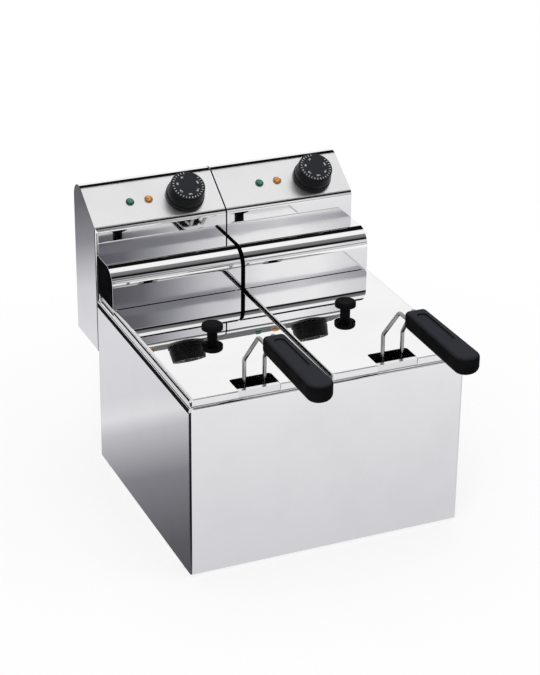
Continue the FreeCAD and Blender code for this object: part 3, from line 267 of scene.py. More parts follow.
class GeometryGraph(Graph):
    """A Geometry Nodes tree with named inputs, whose result is realised and given a material."""

    def __init__(self, name, inputs):
        super().__init__(bpy.data.node_groups.new(name, "GeometryNodeTree"))
        face = self.tree.interface
        self.sockets = {}
        for label, kind in inputs.items():
            socket = face.new_socket(label, in_out="INPUT", socket_type="NodeSocket" + kind)
            self.sockets[label] = socket.identifier
        face.new_socket("Geometry", in_out="OUTPUT", socket_type="NodeSocketGeometry")
        self.given = self.tree.nodes.new("NodeGroupInput")

    def read(self, label):
        return Value(self, self.given.outputs[label])

    def vector(self, **parts):
        return self.node("ShaderNodeCombineXYZ", inputs=parts)

    def join(self, *parts):
        made = self.tree.nodes.new("GeometryNodeJoinGeometry")
        for part in reversed(parts):
            self.tree.links.new(part.socket, made.inputs[0])
        return Value(self, made.outputs[0])

    def finish(self, geometry):
        whole = self.node("GeometryNodeRealizeInstances", inputs={0: geometry})
        painted = self.node("GeometryNodeSetMaterial", inputs={0: whole, "Material": self.read("Material")})
        self.tree.links.new(painted.socket, self.tree.nodes.new("NodeGroupOutput").inputs[0])

    def run(self, name, values, points=None):
        """The tree's result for these inputs, as a plain mesh; points is the mesh that it starts from."""
        shape = placed(name, points or bpy.data.meshes.new(name))
        made = shape.modifiers.new(self.tree.name, "NODES")
        made.node_group = self.tree
        for label, value in values.items():
            made[self.sockets[label]] = value
        return plain_mesh(shape)


def new_shader(name):
    return ShaderGraph(bpy.data.materials.new(name))


def scaled(tint, share):
    """A tint made darker or lighter."""
    return [level * share for level in tint]


def opaque(tint, share=1.0):
    """A tint with full alpha, made darker or lighter by a share."""
    return (*[min(1.0, level * share) for level in tint], 1.0)


# Finishes

def polished_steel(name, tint, dullness=0.02, grain=(0.02, 1.0, 1.0), satin=None, folds=()):
    """Mirror-polished sheet with faint polishing lines, wiped smudges and a slight waviness.

    satin gives a plane (a point and its normal) whose face is ground to a dull finish.
    folds gives edges that are rolled softly over a width: (point, one face's normal, the other's, width).
    """
    g = new_shader(name)
    lines = g.noise(0.6 * MM, grain, detail=2.0)
    smudges = g.noise(0.09, detail=5.0, rough=0.62)
    waves = g.noise(0.12, detail=1.0)
    wiped = g.span(smudges, 0.48, 0.72)
    shade = g.mix(wiped, opaque(tint), opaque(tint, 0.965))
    rough = dullness + g.span(lines, 0.3, 0.7, 0.0, dullness * 0.6) + wiped * dullness
    if satin:
        point, normal = satin
        above = g.maths("ABSOLUTE", g.along(normal) - point.dot(normal))
        rough = rough + g.span(above, 0.2 * MM, 0.5 * MM, 0.30, 0.0)
    surface = g.bump(waves + lines * 0.0004, 0.35 * MM, 0.35)
    if folds:
        sunk = 0.0
        for point, first, second, width in folds:
            both = first + second
            near = g.span(point.dot(both) - g.along(both), 0.0, width, 1.0, 0.0)
            depth = width / 2 / (1 + first.dot(second))
            sunk = g.maths("MINIMUM", sunk, near * near * -depth)
        surface = g.bump(sunk, 1.0, 1.0, surface)
    return g.principled(shade, rough, 1.0, Normal=surface)


def plated_wire(name, tint):
    """Drawn and plated wire, duller where oil has baked on."""
    g = new_shader(name)
    film = g.span(g.noise(0.018, detail=4.0), 0.45, 0.75)
    drawn = g.noise(0.5 * MM, (1, 1, 0.1), detail=2.0)
    shade = g.mix(film, opaque(tint), (0.52, 0.49, 0.44, 1.0))
    return g.principled(shade, 0.12 + film * 0.16, 1.0, Normal=g.bump(drawn, 0.02 * MM, 0.4))


def stained_element(name):
    """Sheathed heating tube, browned and blued by heat."""
    g = new_shader(name)
    heat = g.noise(0.05, detail=4.0)
    shade = g.ramp(heat, (0.25, (0.30, 0.29, 0.28)), (0.45, (0.24, 0.17, 0.11)), (0.6, (0.14, 0.13, 0.17)),
                   (0.8, (0.36, 0.34, 0.32)))
    scale = g.noise(1.2 * MM, detail=5.0)
    return g.principled(shade, 0.34 + heat * 0.2, 0.9, Normal=g.bump(scale, 0.05 * MM, 0.5))


def turned_steel(name, tint, rough=0.22):
    """Plated or turned small steel parts with fine tool marks."""
    g = new_shader(name)
    marks = g.noise(0.25 * MM, (1, 1, 6), detail=2.0)
    tarnish = g.noise(4 * MM, detail=4.0)
    shade = g.mix(g.span(tarnish, 0.45, 0.8), opaque(tint), opaque(tint, 0.72))
    return g.principled(shade, rough + tarnish * 0.1, 1.0, Normal=g.bump(marks, 0.02 * MM, 0.4))


def moulded_plastic(name, tint, rough, grain_size, grain_depth, fade=1.6, gloss=0.035, painted_top_light=None):
    """Moulded plastic with a fine spark-eroded grain and a little handling polish.

    fade makes handled places lighter; painted_top_light is a painted sheen: the lighter tint that faces
    looking upwards get, as if lit from above.
    """
    g = new_shader(name)
    grain = g.noise(grain_size, detail=2.0)
    handled = g.span(g.noise(0.025, detail=3.0), 0.42, 0.7)
    shade = g.mix(handled, opaque(tint), opaque(tint, fade))
    # Painted light: faces that look upwards are tinted lighter, as if lit from above.
    if painted_top_light:
        upward = g.part(g.node("ShaderNodeNewGeometry", output="Normal"), "Z")
        shade = g.mix(g.span(upward, 0.3, 1.0), shade, opaque(painted_top_light))
    worn = rough - handled * 0.08 + g.span(grain, 0.3, 0.7, 0.0, 0.05)
    return g.principled(shade, worn, Specular_IOR_Level=gloss, Normal=g.bump(grain, grain_depth, 0.6))


def speckled_case(name, tint):
    """Pale moulded insulating case with dark flecks."""
    g = new_shader(name)
    flecks = g.span(g.noise(0.7 * MM, detail=3.0), 0.62, 0.72)
    shade = g.mix(flecks, opaque(tint), opaque(tint, 0.55))
    surface = g.bump(g.noise(1.5 * MM, detail=3.0), 0.05 * MM, 0.5)
    return g.principled(shade, 0.48 + flecks * 0.1, Normal=surface)


def lamp_lens(name, tint):
    """Clear coloured lens with painted glints and shade: lighter than its tint near the middle of each
    prism, darker between them.
    """
    g = new_shader(name)
    prisms = g.node("ShaderNodeTexVoronoi", inputs={"Vector": g.place(), "Scale": 1 / (2.2 * MM)})
    # Painted highlight: each prism's middle is lighter than the lens's own tint, and the space between
    # prisms is darker.
    painted_glint = opaque([level * 1.5 + 0.02 for level in tint])
    shade = g.mix(g.span(prisms, 0.15, 0.7), painted_glint, opaque(tint, 0.42))
    return g.principled(shade, 0.08 + g.noise(2 * MM) * 0.06, Coat_Weight=0.3, Coat_Roughness=0.03,
                        Normal=g.bump(prisms, 0.25 * MM, 0.5))


def dial_print(name, tint):
    """Screen-printed paint, thin in places."""
    g = new_shader(name)
    thin = g.span(g.noise(0.8 * MM, detail=4.0), 0.4, 0.75)
    return g.principled(g.mix(thin, opaque(tint), opaque(tint, 0.8)), 0.45 + thin * 0.15)


def side_folds(left, right, width):
    """The folds along the top of the left node's left side and of the right node's right side."""
    low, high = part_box(left)[0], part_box(right)[1]
    top = Vector((0, 0, high.z))
    return [(top + RIGHT * low.x, LEFT, UP, width), (top + RIGHT * high.x, RIGHT, UP, width)]


def front_folds(width):
    """The folds at the corners of the casing's front and along its top."""
    return [(Vector((CASING_LOW.x, FRONT, 0)), LEFT, AHEAD, width),
            (Vector((CASING_HIGH.x, FRONT, 0)), RIGHT, AHEAD, width),
            (Vector((0, FRONT, CASING_HIGH.z)), AHEAD, UP, width)]


def panel_plane(side):
    """The middle of a side's knob on the sloped panel and the direction that the panel faces."""
    joint = JOINTS[f"{side}_knob_turn"]
    return Vector(joint["pos_m"]), -Vector(joint["axis"]).normalized()


def head_folds(width):
    """The folds below the heads' panels and at the left head's front corner."""
    low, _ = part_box("head_housing_left")
    point, normal = panel_plane("left")
    rise = (point.y - low.y) * normal.y / normal.z
    return [(Vector((0, low.y, point.z + rise)), normal, AHEAD, width),
            (Vector((low.x, low.y, 0)), LEFT, AHEAD, width)]


def make_finishes(sizes, colours):
    """Makes one material for each finish."""
    steel, wire, plastic = colours.steel, colours.wire, colours.plastic
    casing_folds = side_folds("casing_shell", "casing_shell", sizes.side_fold)
    casing_folds += front_folds(sizes.front_fold)
    lid_folds = side_folds("lid_left", "lid_right", sizes.lid_fold)
    FINISHES.update({
        "polished_steel": polished_steel("polished_sheet", steel),
        "casing_steel": polished_steel("casing_sheet", steel, folds=casing_folds),
        "lid_steel": polished_steel("lid_sheet", steel, 0.006, folds=lid_folds),
        "head_steel": polished_steel("head_sheet", steel, satin=panel_plane("left"),
                                     folds=head_folds(sizes.head_fold)),
        # The centre rail's steel is tinted nearly black: painted shade for the dark gap between the lids.
        "rail_painted_shade": polished_steel("shaded_rail", scaled(steel, 0.12), 0.2),
        "tank_steel": polished_steel("drawn_tank", scaled(steel, 0.92), 0.12, (1.0, 1.0, 0.05)),
        "back_steel": polished_steel("back_sheet", scaled(steel, 0.9), 0.2, (0.03, 1.0, 1.0)),
        "wire_steel": plated_wire("plated_wire", wire),
        "handle_steel": plated_wire("handle_wire", scaled(wire, 0.5)),
        "element_steel": stained_element("stained_element"),
        "screw_steel": turned_steel("plated_screw", (0.62, 0.62, 0.63)),
        "shaft_steel": turned_steel("turned_shaft", (0.56, 0.56, 0.57), 0.28),
        "black_plastic": moulded_plastic("black_plastic", plastic, 0.36, 0.35 * MM, 0.03 * MM, gloss=0.012),
        "plate_black": moulded_plastic("plate_black", plastic, 0.5, 0.35 * MM, 0.02 * MM, gloss=0.0),
        "grip_plastic": moulded_plastic("grained_grip", plastic, 0.42, 0.8 * MM, 0.10 * MM,
                                        gloss=0.004, painted_top_light=(0.026, 0.027, 0.032)),
        "knob_plastic": moulded_plastic("knob_plastic", plastic, 0.30, 0.4 * MM, 0.02 * MM,
                                        gloss=0.09, painted_top_light=(0.020, 0.022, 0.027)),
        "case_plastic": speckled_case("insulating_case", (0.72, 0.70, 0.64)),
        "reset_red": moulded_plastic("reset_red", (0.50, 0.02, 0.02), 0.28, 0.5 * MM, 0.01 * MM, 1.2, 0.5),
        "green_lens": lamp_lens("green_lens", colours.green),
        "green_rim": lamp_lens("green_rim", scaled(colours.green, 0.35)),
        "amber_lens": lamp_lens("amber_lens", colours.amber),
        "amber_rim": lamp_lens("amber_rim", scaled(colours.amber, 0.45)),
        "foot_rubber": moulded_plastic("foot_rubber", (0.020, 0.020, 0.020), 0.7, 0.6 * MM, 0.06 * MM, 1.8),
        "dial_print": dial_print("dial_print", colours.printing),
    })


# Mesh helpers

def placed(name, data):
    """An object with that data in the scene."""
    shape = bpy.data.objects.new(name, data)
    bpy.context.scene.collection.objects.link(shape)
    return shape


def new_piece(name, mesh, finish, node, replaces=True):
    """Adds a mesh in its finish as a piece on a node's body, which may also replace the node."""
    mesh.name = name
    mesh.materials.clear()
    mesh.materials.append(FINISHES[finish])
    piece = placed(name, mesh)
    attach(piece, body_of(frame["nodes"][node])[0])
    if replaces:
        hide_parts(node)


def plain_mesh(source):
    """The evaluated shape of an object as a mesh of its own; the object is removed."""
    bpy.context.view_layer.update()
    evaluated = source.evaluated_get(bpy.context.evaluated_depsgraph_get())
    mesh = bpy.data.meshes.new_from_object(evaluated)
    bpy.data.objects.remove(source)
    return mesh


def mesh_from(form, name):
    mesh = bpy.data.meshes.new(name)
    form.to_mesh(mesh)
    form.free()
    return mesh


def welded(form, name):
    """A mesh whose points that touch are one, with its faces turned outwards."""
    bmesh.ops.remove_doubles(form, verts=form.verts, dist=WELD)
    bmesh.ops.recalc_face_normals(form, faces=form.faces)
    return mesh_from(form, name)


def smooth(mesh, angle):
    """Shades a mesh smooth, with the edges steeper than the angle left sharp."""
    form = bmesh.new()
    form.from_mesh(mesh)
    for face in form.faces:
        face.smooth = True
    for edge in form.edges:
        edge.smooth = len(edge.link_faces) == 2 and edge.calc_face_angle(math.pi) < angle
    form.to_mesh(mesh)
    form.free()


def lathe(name, profile, segments):
    """A closed turned shape from (radius, height) pairs in millimetres, round the Z axis."""
    form = bmesh.new()
    points = [form.verts.new((radius, 0, height)) for radius, height in profile]
    for start, end in zip(points, points[1:]):
        form.edges.new((start, end))
    bmesh.ops.spin(form, geom=form.verts[:] + form.edges[:], axis=UP, cent=(0, 0, 0),
                   steps=segments, angle=math.tau, use_duplicate=False)
    mesh = welded(form, name)
    mesh.transform(Matrix.Scale(MM, 4))
    return mesh


def rounded(profile, corners):
    """A profile whose named corners are rounded: corners gives {index: (radius, steps)}."""
    out = []
    for index, point in enumerate(profile):
        if index not in corners:
            out.append(point)
            continue
        radius, steps = corners[index]
        here = Vector(point)
        before = (Vector(profile[index - 1]) - here).normalized()
        after = (Vector(profile[index + 1]) - here).normalized()
        half = before.angle(after) / 2
        run = radius / math.tan(half)
        start, end = here + before * run, here + after * run
        middle = here + (before + after).normalized() * (radius / math.sin(half))
        first, last = start - middle, end - middle
        sweep = first.angle(last)
        for step in range(steps + 1):
            share = step / steps
            arm = (first * math.sin((1 - share) * sweep) + last * math.sin(share * sweep)) / math.sin(sweep)
            out.append(tuple(middle + arm))
    return out


def joined(meshes, name):
    """Several meshes as one."""
    form = bmesh.new()
    for mesh in meshes:
        form.from_mesh(mesh)
        bpy.data.meshes.remove(mesh)
    return mesh_from(form, name)


# Sheet metal, moulded parts and wires

# Nodes with a finish of their own; the others have the finish of their slot
OWN_FINISH = {"casing_shell": "casing_steel", "centre_rail": "rail_painted_shade", "rear_panel": "back_steel",
              "base_plate": "back_steel", "tank": "tank_steel", "back_cover": "back_steel",
              "head_housing": "head_steel", "lid": "lid_steel", "basket_grip": "grip_plastic",
              "hood_end_plates": "plate_black", "basket_handle": "handle_steel"}


def dress(node, finish, angle):
    """Replaces a node with a smoothly shaded copy in its finish, whose loose triangles are joined."""
    form = bmesh.new()
    form.from_mesh(frame["nodes"][node].data)
    bmesh.ops.remove_doubles(form, verts=form.verts, dist=WELD)
    bmesh.ops.dissolve_degenerate(form, edges=form.edges, dist=WELD / 2)
    mesh = mesh_from(form, node + "_joined")
    smooth(mesh, angle)
    shape = placed(node + "_smooth", mesh)
    even = shape.modifiers.new("even_normals", "WEIGHTED_NORMAL")
    even.mode = "FACE_AREA"
    even.keep_sharp = True
    new_piece(node + "_dressed", plain_mesh(shape), finish, node)


def dress_all(context, single, kinds):
    """Dresses single nodes, and kinds of nodes on both sides."""
    nodes = [(node, node) for node in single]
    nodes += [(f"{kind}_{side}", kind) for side in SIDES for kind in kinds]
    for node, kind in nodes:
        dress(node, OWN_FINISH.get(kind, NODE_SLOTS[node]), context.scene.fryer_sizes.smooth_angle)


class FRYER_OT_sheet(bpy.types.Operator):
    """Dresses the casing, tanks, heads, hoods and lids as polished sheet"""
    bl_idname = "fryer.sheet"
    bl_label = "Sheet metal"

    def execute(self, context):
        dress_all(context, ("casing_shell", "centre_rail", "rear_panel", "base_plate"),
                  ("tank", "head_housing", "back_cover", "hood", "element_plate", "lid"))
        return {"FINISHED"}


class FRYER_OT_moulded(bpy.types.Operator):
    """Dresses the grips, lid knobs, end plates, feet and the parts inside the heads"""
    bl_idname = "fryer.moulded"
    bl_label = "Moulded parts"

    def execute(self, context):
        dress_all(context, ("feet",), (
            "hood_end_plates", "basket_grip", "lid_knob", "cable_gland", "thermostat", "safety_thermostat",
            "terminal_block", "reset_button"))
        return {"FINISHED"}


class FRYER_OT_wires(bpy.types.Operator):
    """Dresses the basket wires, heating elements, bulbs and shafts"""
    bl_idname = "fryer.wires"
    bl_label = "Wires and tubes"

    def execute(self, context):
        dress_all(context, (), (
            "basket_rim", "basket_handle", "heating_element", "sensor_bulbs", "thermostat_shaft",
            "lid_knob_screw"))
        return {"FINISHED"}


# Woven baskets

def weave_tree():
    """One flat woven panel in the XY plane: two sets of wires that pass over and under each other."""
    t = GeometryGraph("woven_panel", {
        "Length X": "Float", "Length Y": "Float", "Count X": "Int", "Count Y": "Int", "Wire": "Float",
        "Material": "Material"})
    profile = t.node("GeometryNodeCurvePrimitiveCircle", {"mode": "RADIUS"},
                     {"Resolution": 5, "Radius": t.read("Wire")})
    sets = []
    for along, across in (("X", "Y"), ("Y", "X")):
        long, wide = t.read(f"Length {along}"), t.read(f"Length {across}")
        crossings, wires = t.read(f"Count {across}"), t.read(f"Count {along}")
        line = t.node("GeometryNodeCurvePrimitiveLine", {"mode": "POINTS"}, {
            "Start": t.vector(**{along: long * -0.5}), "End": t.vector(**{along: long * 0.5})})
        steps = (crossings - 1.0) * 2.0 + 1.0
        fine = t.node("GeometryNodeResampleCurve", {"mode": "COUNT"}, {"Curve": line, "Count": steps})
        row = t.node("GeometryNodeMeshLine", {"mode": "OFFSET", "count_mode": "TOTAL"}, {
            "Count": wires, "Start Location": t.vector(**{across: wide * -0.5}),
            "Offset": t.vector(**{across: wide / (wires - 1.0)})})
        laid = t.node("GeometryNodeInstanceOnPoints", inputs={"Points": row, "Instance": fine})
        laid = t.node("GeometryNodeRealizeInstances", inputs={0: laid})
        index = t.node("GeometryNodeInputIndex")
        step = t.maths("MODULO", index, steps)
        wire = t.maths("FLOOR", index / steps)
        swing = t.maths("COSINE", (step + wire * 2.0) * (math.pi / 2)) * t.read("Wire")
        lift = swing if along == "X" else swing * -1.0
        bent = t.node("GeometryNodeSetPosition", inputs={"Geometry": laid, "Offset": t.vector(Z=lift)})
        sets.append(t.node("GeometryNodeCurveToMesh",
                           inputs={"Curve": bent, "Profile Curve": profile, "Fill Caps": True}))
    t.finish(t.join(*sets))
    return t


def woven_panel(tree, name, size_x, size_y, sizes, place):
    """A woven panel of that size, moved to its place in the frame."""
    count_x, count_y = (max(2, round(size / sizes.weave_pitch) + 1) for size in (size_y, size_x))
    mesh = tree.run(name, {
        "Length X": size_x, "Length Y": size_y, "Count X": count_x, "Count Y": count_y,
        "Wire": sizes.weave_wire, "Material": FINISHES["wire_steel"]})
    mesh.transform(place)
    return mesh


def basket_edges(low, high, radius):
    """The stiffening wires along a basket's edges."""
    corners = [(low.x, low.y), (high.x, low.y), (high.x, high.y), (low.x, high.y)]
    curve = bpy.data.curves.new("basket_edges", "CURVE")
    curve.dimensions = "3D"
    curve.bevel_depth = radius
    curve.bevel_resolution = 2
    runs = [[(x, y, low.z), (x, y, high.z)] for x, y in corners]
    runs.append([(x, y, low.z) for x, y in corners + corners[:1]])
    for run in runs:
        spline = curve.splines.new("POLY")
        spline.points.add(len(run) - 1)
        for point, place in zip(spline.points, run):
            point.co = (*place, 1.0)
    return plain_mesh(placed("basket_edges", curve))


class FRYER_OT_baskets(bpy.types.Operator):
    """Weaves the baskets' walls and floors from wire"""
    bl_idname = "fryer.baskets"
    bl_label = "Woven baskets"

    def execute(self, context):
        sizes = context.scene.fryer_sizes
        tree = weave_tree()
        facing_front = Matrix.Rotation(math.pi / 2, 4, "X")
        facing_side = Matrix.Rotation(-math.pi / 2, 4, "Y")
        inset = 2 * sizes.weave_wire
        for side in SIDES:
            node = f"basket_mesh_{side}"
            low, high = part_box(node)
            low, high = low + Vector((inset, inset, inset)), high - Vector((inset, inset, 0))
            size, middle = high - low, (low + high) / 2
            panels = [("floor", size.x, size.y, Matrix.Translation((middle.x, middle.y, low.z)))]
            for y in (low.y, high.y):
                place = Matrix.Translation((middle.x, y, middle.z)) @ facing_front
                panels.append(("end", size.x, size.z, place))
            for x in (low.x, high.x):
                place = Matrix.Translation((x, middle.y, middle.z)) @ facing_side
                panels.append(("wall", size.z, size.y, place))
            meshes = [woven_panel(tree, f"weave_{kind}_{side}", size_x, size_y, sizes, place)
                      for kind, size_x, size_y, place in panels]
            meshes.append(basket_edges(low, high, 2 * sizes.weave_wire))
            mesh = joined(meshes, f"woven_basket_{side}")
            for face in mesh.polygons:
                face.use_smooth = True
            new_piece(f"woven_basket_{side}", mesh, "wire_steel", node)
        return {"FINISHED"}


# Screws

HEAD_GRID = 36  # squares across the grid that a screw's head is pressed from
HEAD_RIM = 0.45  # height of a head's rim, as a share of the head's height
RECESS_REACH = 0.62  # reach of the cross recess, as a share of the head's radius
RECESS_DEPTH = 0.5  # depth of the recess in the middle, as a share of the head's height
RECESS_RISE = 0.5  # share of that depth that its floor would rise out to the rim


def screw_head(radius, height, recess):
    """A pan head on the XY plane with a cross recess, from a fine disc that is lifted and pressed in."""
    form = bmesh.new()
    bmesh.ops.create_grid(form, x_segments=HEAD_GRID, y_segments=HEAD_GRID, size=radius)
    for vert in form.verts:
        x, y = vert.co.xy / radius
        flat = Vector((x * math.sqrt(1 - y ** 2 / 2), y * math.sqrt(1 - x ** 2 / 2)))
        away = min(1.0, flat.length)
        lift = height * (HEAD_RIM + (1 - HEAD_RIM) * math.sqrt(max(0.0, 1 - away ** 3)))
        arms = (abs(flat.x), abs(flat.y))
        if min(arms) * radius < recess / 2 and max(arms) < RECESS_REACH:
            lift -= height * RECESS_DEPTH * (1 - max(arms) * RECESS_RISE)
        vert.co = (flat.x * radius, flat.y * radius, lift)
    rim = [edge for edge in form.edges if edge.is_boundary]
    grown = bmesh.ops.extrude_edge_only(form, edges=rim)
    for vert in (part for part in grown["geom"] if isinstance(part, bmesh.types.BMVert)):
        vert.co.z = 0
    bottom = [edge for edge in form.edges if edge.is_boundary]
    bmesh.ops.holes_fill(form, edges=bottom, sides=0)
    bmesh.ops.recalc_face_normals(form, faces=form.faces)
    return mesh_from(form, "screw_head")


def screw_tree():
    """Copies of a screw head at the points of a mesh, each turned by its own angle."""
    t = GeometryGraph("screw_heads", {
        "Geometry": "Geometry", "Head": "Object", "Seed": "Int", "Material": "Material"})
    head = t.node("GeometryNodeObjectInfo", {"transform_space": "ORIGINAL"}, {"Object": t.read("Head")},
                  output="Geometry")
    spin = t.node("FunctionNodeRandomValue", {"data_type": "FLOAT"},
                  {2: 0.0, 3: math.pi, "Seed": t.read("Seed")}, output=1)
    t.finish(t.node("GeometryNodeInstanceOnPoints", inputs={
        "Points": t.read("Geometry"), "Instance": head, "Rotation": t.vector(Z=spin)}))
    return t


def put_screws(tree, node, places, radius, height, sizes, turn, seed):
    """Replaces a node of screws with heads at those places, on a plane that is turned into the frame."""
    name = node + "_heads"
    head = placed("screw_head", screw_head(radius, height, sizes.recess_width))
    points = bpy.data.meshes.new(name)
    back = turn.inverted()
    points.from_pydata([back @ Vector(place) for place in places], [], [])
    mesh = tree.run(name, {"Head": head, "Seed": seed, "Material": FINISHES["screw_steel"]}, points)
    mesh.transform(turn)
    bpy.data.objects.remove(head)
    smooth(mesh, sizes.smooth_angle)
    new_piece(name, mesh, "screw_steel", node)


class FRYER_OT_screws(bpy.types.Operator):
    """Puts cross-recessed screws in the back covers and under the feet"""
    bl_idname = "fryer.screws"
    bl_label = "Screws"

    def execute(self, context):
        sizes = context.scene.fryer_sizes
        tree = screw_tree()
        facing_back = Matrix.Rotation(-math.pi / 2, 4, "X")
        facing_down = Matrix.Rotation(math.pi, 4, "X")
        radius = sizes.cover_screw
        for seed, side in enumerate(SIDES):
            node = f"cover_screws_{side}"
            low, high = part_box(node)
            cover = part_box(f"back_cover_{side}")[1].y
            places = [(x, cover, z) for x in (low.x + radius, high.x - radius)
                      for z in (low.z + radius, high.z - radius)]
            put_screws(tree, node, places, radius, high.y - cover, sizes, facing_back, seed)
        radius, height = sizes.foot_screw, sizes.foot_screw_head
        low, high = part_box("foot_screws")
        places = [(x, y, low.z + height) for x in (low.x + radius, high.x - radius)
                  for y in (low.y + radius, high.y - radius)]
        put_screws(tree, "foot_screws", places, radius, height, sizes, facing_down, len(SIDES))
        return {"FINISHED"}


# Dials

# The knob in millimetres: lift is its gap above the panel, and the line is a fine groove round its body, as
# (radius, height) pairs from the panel's face
KNOB = {"lift": 1.5, "hollow": 8.0, "skirt": 4.0, "groove": 1.6, "height": 22.0, "hollow_radius": 13.0,
        "skirt_radius": 25.5, "groove_radius": 23.2, "body_radius": 24.6, "face_radius": 22.6}
KNOB_LINE = ((24.05, 13.0), (23.45, 13.2), (23.4, 13.9), (23.75, 14.1))
KNOB_CORNERS = {3: (0.6, 4), 4: (0.7, 4), 7: (0.5, 3), 12: (1.3, 6)}
KNOB_SEGMENTS = 128
KNOB_FACE = (KNOB["lift"] + KNOB["height"]) * MM
DIAL_NUMBERS = ("50", "80", "110", "140", "170", "190")
NUMBER_LEAD = 0.35  # steps between two numbers from the first tick to the first number
NUMBER_STEPS = len(DIAL_NUMBERS) - 0.3  # steps between two numbers in the whole sweep
NUMBER_WEIGHT = 0.012  # thickening of a number's strokes, as a share of its height


def panel_frame(side):
    """The knob's frame on the sloped panel: Z stands on the panel, X runs to the right, Y up the slope."""
    point, normal = panel_plane(side)
    turn = Matrix((RIGHT, normal.cross(RIGHT), normal)).transposed().to_4x4()
    return Matrix.Translation(point) @ turn


def knob_profile():
    """The dial knob's turned outline: hollow, skirt, groove, tapered body and face."""
    inner, skirt, groove, body, face = (
        KNOB[name + "_radius"] for name in ("hollow", "skirt", "groove", "body", "face"))
    base, top = KNOB["lift"], KNOB["lift"] + KNOB["height"]
    ceiling, ledge = base + KNOB["hollow"], base + KNOB["skirt"]
    foot = ledge + KNOB["groove"]
    profile = [(0, ceiling), (inner, ceiling), (inner, base), (skirt, base), (skirt, ledge), (groove, ledge),
               (groove, foot), (body, foot), *KNOB_LINE, (face, top), (0, top)]
    return rounded(profile, KNOB_CORNERS)


def arc_ticks_tree():
    """Ticks along an arc on the XY plane, each turned to point at the middle."""
    t = GeometryGraph("dial_ticks", {
        "Count": "Int", "Radius": "Float", "Start": "Float", "Sweep": "Float", "Length": "Float",
        "Width": "Float", "Depth": "Float", "Material": "Material"})
    arc = t.node("GeometryNodeCurveArc", {"mode": "RADIUS"}, {
        "Resolution": t.read("Count"), "Radius": t.read("Radius"), "Start Angle": t.read("Start"),
        "Sweep Angle": t.read("Sweep")})
    size = t.vector(X=t.read("Length"), Y=t.read("Width"), Z=t.read("Depth"))
    bar = t.node("GeometryNodeMeshCube", inputs={"Size": size})
    share = t.node("GeometryNodeInputIndex") / (t.read("Count") - 1.0)
    angle = t.read("Start") + share * t.read("Sweep")
    t.finish(t.node("GeometryNodeInstanceOnPoints", inputs={
        "Points": arc, "Instance": bar, "Rotation": t.vector(Z=angle)}))
    return t


def numeral(words, height, depth, place):
    """A number as a mesh, its middle at the place's origin."""
    text = bpy.data.curves.new("dial_number", "FONT")
    text.body = words
    text.size = height
    text.align_x = "CENTER"
    text.align_y = "CENTER"
    text.extrude = depth / 2
    text.offset = height * NUMBER_WEIGHT
    form = bmesh.new()
    form.from_mesh(plain_mesh(placed("dial_number", text)))
    mesh = welded(form, "dial_number")
    mesh.transform(place)
    return mesh


class FRYER_OT_dials(bpy.types.Operator):
    """Turns the thermostat knobs and prints their scales"""
    bl_idname = "fryer.dials"
    bl_label = "Thermostat dials"

    def execute(self, context):
        sizes = context.scene.fryer_sizes
        ticks = arc_ticks_tree()
        on_face = Matrix.Translation((0, 0, KNOB_FACE + sizes.print_depth / 4))
        out = Matrix.Translation((sizes.numeral_radius, 0, 0)) @ Matrix.Rotation(-math.pi / 2, 4, "Z")
        for side in SIDES:
            place = panel_frame(side)
            node = f"thermostat_knob_{side}"
            knob = lathe(node + "_turned", knob_profile(), KNOB_SEGMENTS)
            smooth(knob, sizes.smooth_angle)
            knob.transform(place)
            new_piece(node + "_turned", knob, "knob_plastic", node)
            scale = ticks.run(f"dial_ticks_{side}", {
                "Count": sizes.tick_count, "Radius": sizes.tick_radius, "Start": sizes.tick_start,
                "Sweep": sizes.tick_sweep, "Length": sizes.tick_length, "Width": sizes.tick_width,
                "Depth": sizes.print_depth, "Material": FINISHES["dial_print"]})
            scale.transform(on_face)
            marks = [scale]
            for index, words in enumerate(DIAL_NUMBERS):
                angle = sizes.tick_start + (index + NUMBER_LEAD) * sizes.tick_sweep / NUMBER_STEPS
                spot = on_face @ Matrix.Rotation(angle, 4, "Z") @ out
                marks.append(numeral(words, sizes.numeral_height, sizes.print_depth, spot))
            printed = joined(marks, f"dial_print_{side}")
            printed.transform(place)
            new_piece(f"dial_print_{side}", printed, "dial_print", node, replaces=False)
        return {"FINISHED"}


# Lamps

# A lamp in millimetres, with heights from the panel's face
LAMP = {"bore_radius": 4.15, "bore_floor": 0.2, "rim_radius": 5.6, "rim_top": 1.4, "barrel_radius": 4.5,
        "barrel_end": -22.0, "lens_radius": 4.1, "lens_foot": 0.3, "lens_side": 3.0, "lens_face_radius": 3.4,
        "lens_top": 4.0}
BEZEL_CORNERS = {2: (0.6, 5)}
BEZEL_SEGMENTS = 64
LENS_CORNERS = {1: (0.4, 3), 2: (0.5, 3)}
LENS_SEGMENTS = 12
LENS_SMOOTH = math.radians(12)  # flatter than the lens's facets, which stay sharp
LAMP_RISE = 3 * MM  # distance up the slope from the knob's middle to the lamps'


def bezel_profile():
    """The outline of a lamp's rim and of its barrel behind the panel."""
    bore, rim, barrel = (LAMP[name + "_radius"] for name in ("bore", "rim", "barrel"))
    top, end = LAMP["rim_top"], LAMP["barrel_end"]
    profile = [(bore, LAMP["bore_floor"]), (bore, top), (rim, top), (rim, 0), (barrel, 0), (barrel, end),
               (0, end)]
    return rounded(profile, BEZEL_CORNERS)


def lens_profile():
    """The outline of a lamp's lens."""
    side, face, top = LAMP["lens_radius"], LAMP["lens_face_radius"], LAMP["lens_top"]
    profile = [(side, LAMP["lens_foot"]), (side, LAMP["lens_side"]), (face, top), (0, top)]
    return rounded(profile, LENS_CORNERS)


